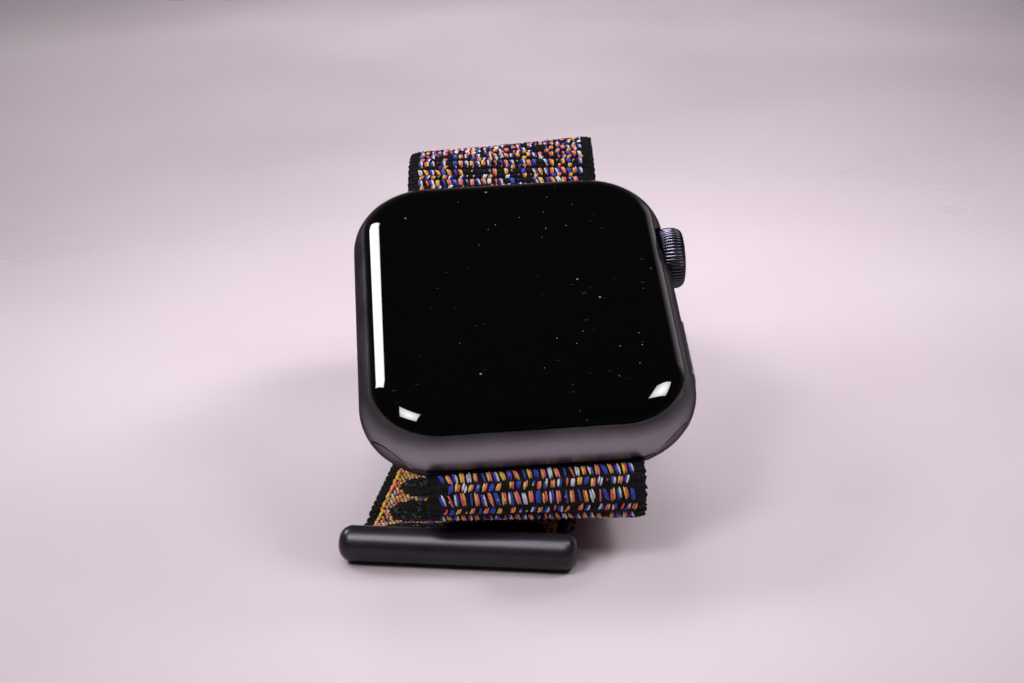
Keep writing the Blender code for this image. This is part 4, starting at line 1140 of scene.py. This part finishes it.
def make_light():
    """Softboxes that the glass mirrors, lamps that fill in the sides, and a dim room."""
    for name, spot, direction, distance, *angles, turn, radiance in LIGHTS:
        away = Vector(direction).normalized()
        size = [2 * distance * tan(radians(angle / 2)) for angle in angles]
        place = Vector(spot) + away * distance
        made = area_light(name, size, radiance, place, away, SOFTBOX_SPREAD)
        made.matrix_world = made.matrix_world @ Matrix.Rotation(radians(turn), 4, "Z")
    for name, place, target, size, spread, radiance in FILLS:
        away = Vector(place) - Vector(target)
        made = area_light(name, (size, size), radiance, place, away, spread)
        made.visible_glossy = False
    ceiling = bpy.data.lights.new("ceiling_light", "SUN")
    ceiling.energy = CEILING_LIGHT
    ceiling.angle = CEILING_ANGLE
    ceiling.color = LIGHT_COLOUR
    added("ceiling_light", ceiling).visible_glossy = False
    world = bpy.data.worlds.new("room")
    bpy.context.scene.world = world
    world.use_nodes = True
    tree = world.node_tree
    direction = Wire(tree).make("TexCoord", {}, "Generated")
    x, y, z = (direction.part(axis) * share for axis, share in enumerate(WINDOW_WAY))
    window = (x + y + z).ramp(*WINDOW_SPAN)
    room = direction.part(2).ramp(*ROOM_SHADE)
    shade = (room + window * window * WINDOW_LIGHT).colours(NO_COLOUR, ROOM_COLOUR)
    wall = shade.make("LightPath", {}, "Is Camera Ray").colours(shade, SKY)
    feed(tree, tree.nodes["Background"], {"Color": wall})


def make_panel(name, row, lit):
    """An overhead panel, kept off everything but the given piece."""
    place, size, radiance = row
    made = area_light(name, size, radiance, place, Vector((0, 0, 1)), PANEL_SPREAD)
    made.data.color = PANEL_COLOUR
    kept = bpy.data.collections.new("lit_by_" + name)
    kept.objects.link(lit)
    made.light_linking.receiver_collection = kept


def make_camera():
    """The camera, at the place it was fitted to in the photograph."""
    data = bpy.data.cameras.new("camera")
    data.sensor_width = CAMERA_SENSOR
    data.lens = CAMERA_LENS
    data.clip_start = CAMERA_NEAR
    back = CAMERA_RIGHT.cross(CAMERA_UP)
    turn = Matrix((CAMERA_RIGHT, CAMERA_UP, back)).transposed().to_4x4()
    made = added("camera", data, Matrix.Translation(CAMERA_PLACE) @ turn)
    bpy.context.scene.camera = made


def main():
    """Builds the watch's looks, its table, its light and its camera."""
    make_camera()
    make_table()
    make_light()
    bpy.context.scene.view_settings.view_transform = "Standard"
    metal = satin_metal("anodised_case", (0.24, 0.225, 0.245), 0.34, edge=0.12)
    crown_metal = satin_metal("crown_metal", (0.062, 0.062, 0.078), 0.26, 24000.0, 0.3)
    steel = satin_metal("spring_steel", (0.56, 0.56, 0.57), 0.28)
    brass = satin_metal("brass", (0.72, 0.52, 0.24), 0.3)
    lug_metal = satin_metal("lug_metal", (0.2, 0.185, 0.2), 0.4, edge=0.12)
    plastic = moulded("black_plastic", (0.018, 0.018, 0.02), 0.45)
    rubber = moulded("seal_rubber", (0.02, 0.02, 0.02), 0.75)
    gloss = moulded("bar_plastic", (0.006, 0.0052, 0.0068), 0.3, 16000.0, 0.34)
    panel = moulded("display_panel", (0.006, 0.006, 0.008), 0.2)
    wrap = moulded("battery_wrap", (0.05, 0.05, 0.055), 0.45)
    ferrite = moulded("ferrite", (0.045, 0.045, 0.05), 0.65, 3000.0)
    hook = moulded("hook_tape", (0.02, 0.02, 0.021), 0.5)
    yarns = [yarn(*row) for row in YARNS]
    make_case(metal)
    make_front_glass(front_glass_finish())
    make_crystal(crystal_finish())
    grip = make_crown(crown_metal, panel)
    make_side_button(metal)
    make_lug("12", 1, "long_strap", [lug_metal, plastic])
    make_lug("6", -1, "short_strap", [lug_metal, plastic])
    bar = make_end_bar(gloss)
    make_panel("bar_panel", BAR_PANEL, bar)
    make_panel("crown_panel", CROWN_PANEL, grip)
    make_long_strap(yarns)
    make_short_strap(yarns)
    make_hook_patch(hook)
    # The CAD nodes that keep their shape
    for material, names in (
        (rubber, "display_gasket back_gasket display_flex crown_seal"),
        (panel, "display_panel"),
        (steel, "display_bracket haptic_motor speaker_mesh microphone crown_stem button_plunger"),
        (steel, "button_bracket detent_12 detent_6"),
        (steel, "board_screw_1 board_screw_2 board_screw_3 board_screw_4"),
        (metal, "release_button_12 release_button_6"),
        (brass, "crown_bush"),
        (winding_finish(), "charging_coil antenna_frame"),
        (ferrite, "coil_shield photodiode_1 photodiode_2"),
        (board_finish(), "sensor_board main_board"),
        (lens_finish(), "green_led_1 green_led_2"),
        (wrap, "battery"),
        (plastic, "speaker crown_switch crown_encoder button_switch"),
    ):
        for name in names.split():
            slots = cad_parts[name].data.materials
            slots.clear()
            slots.append(material)


main()
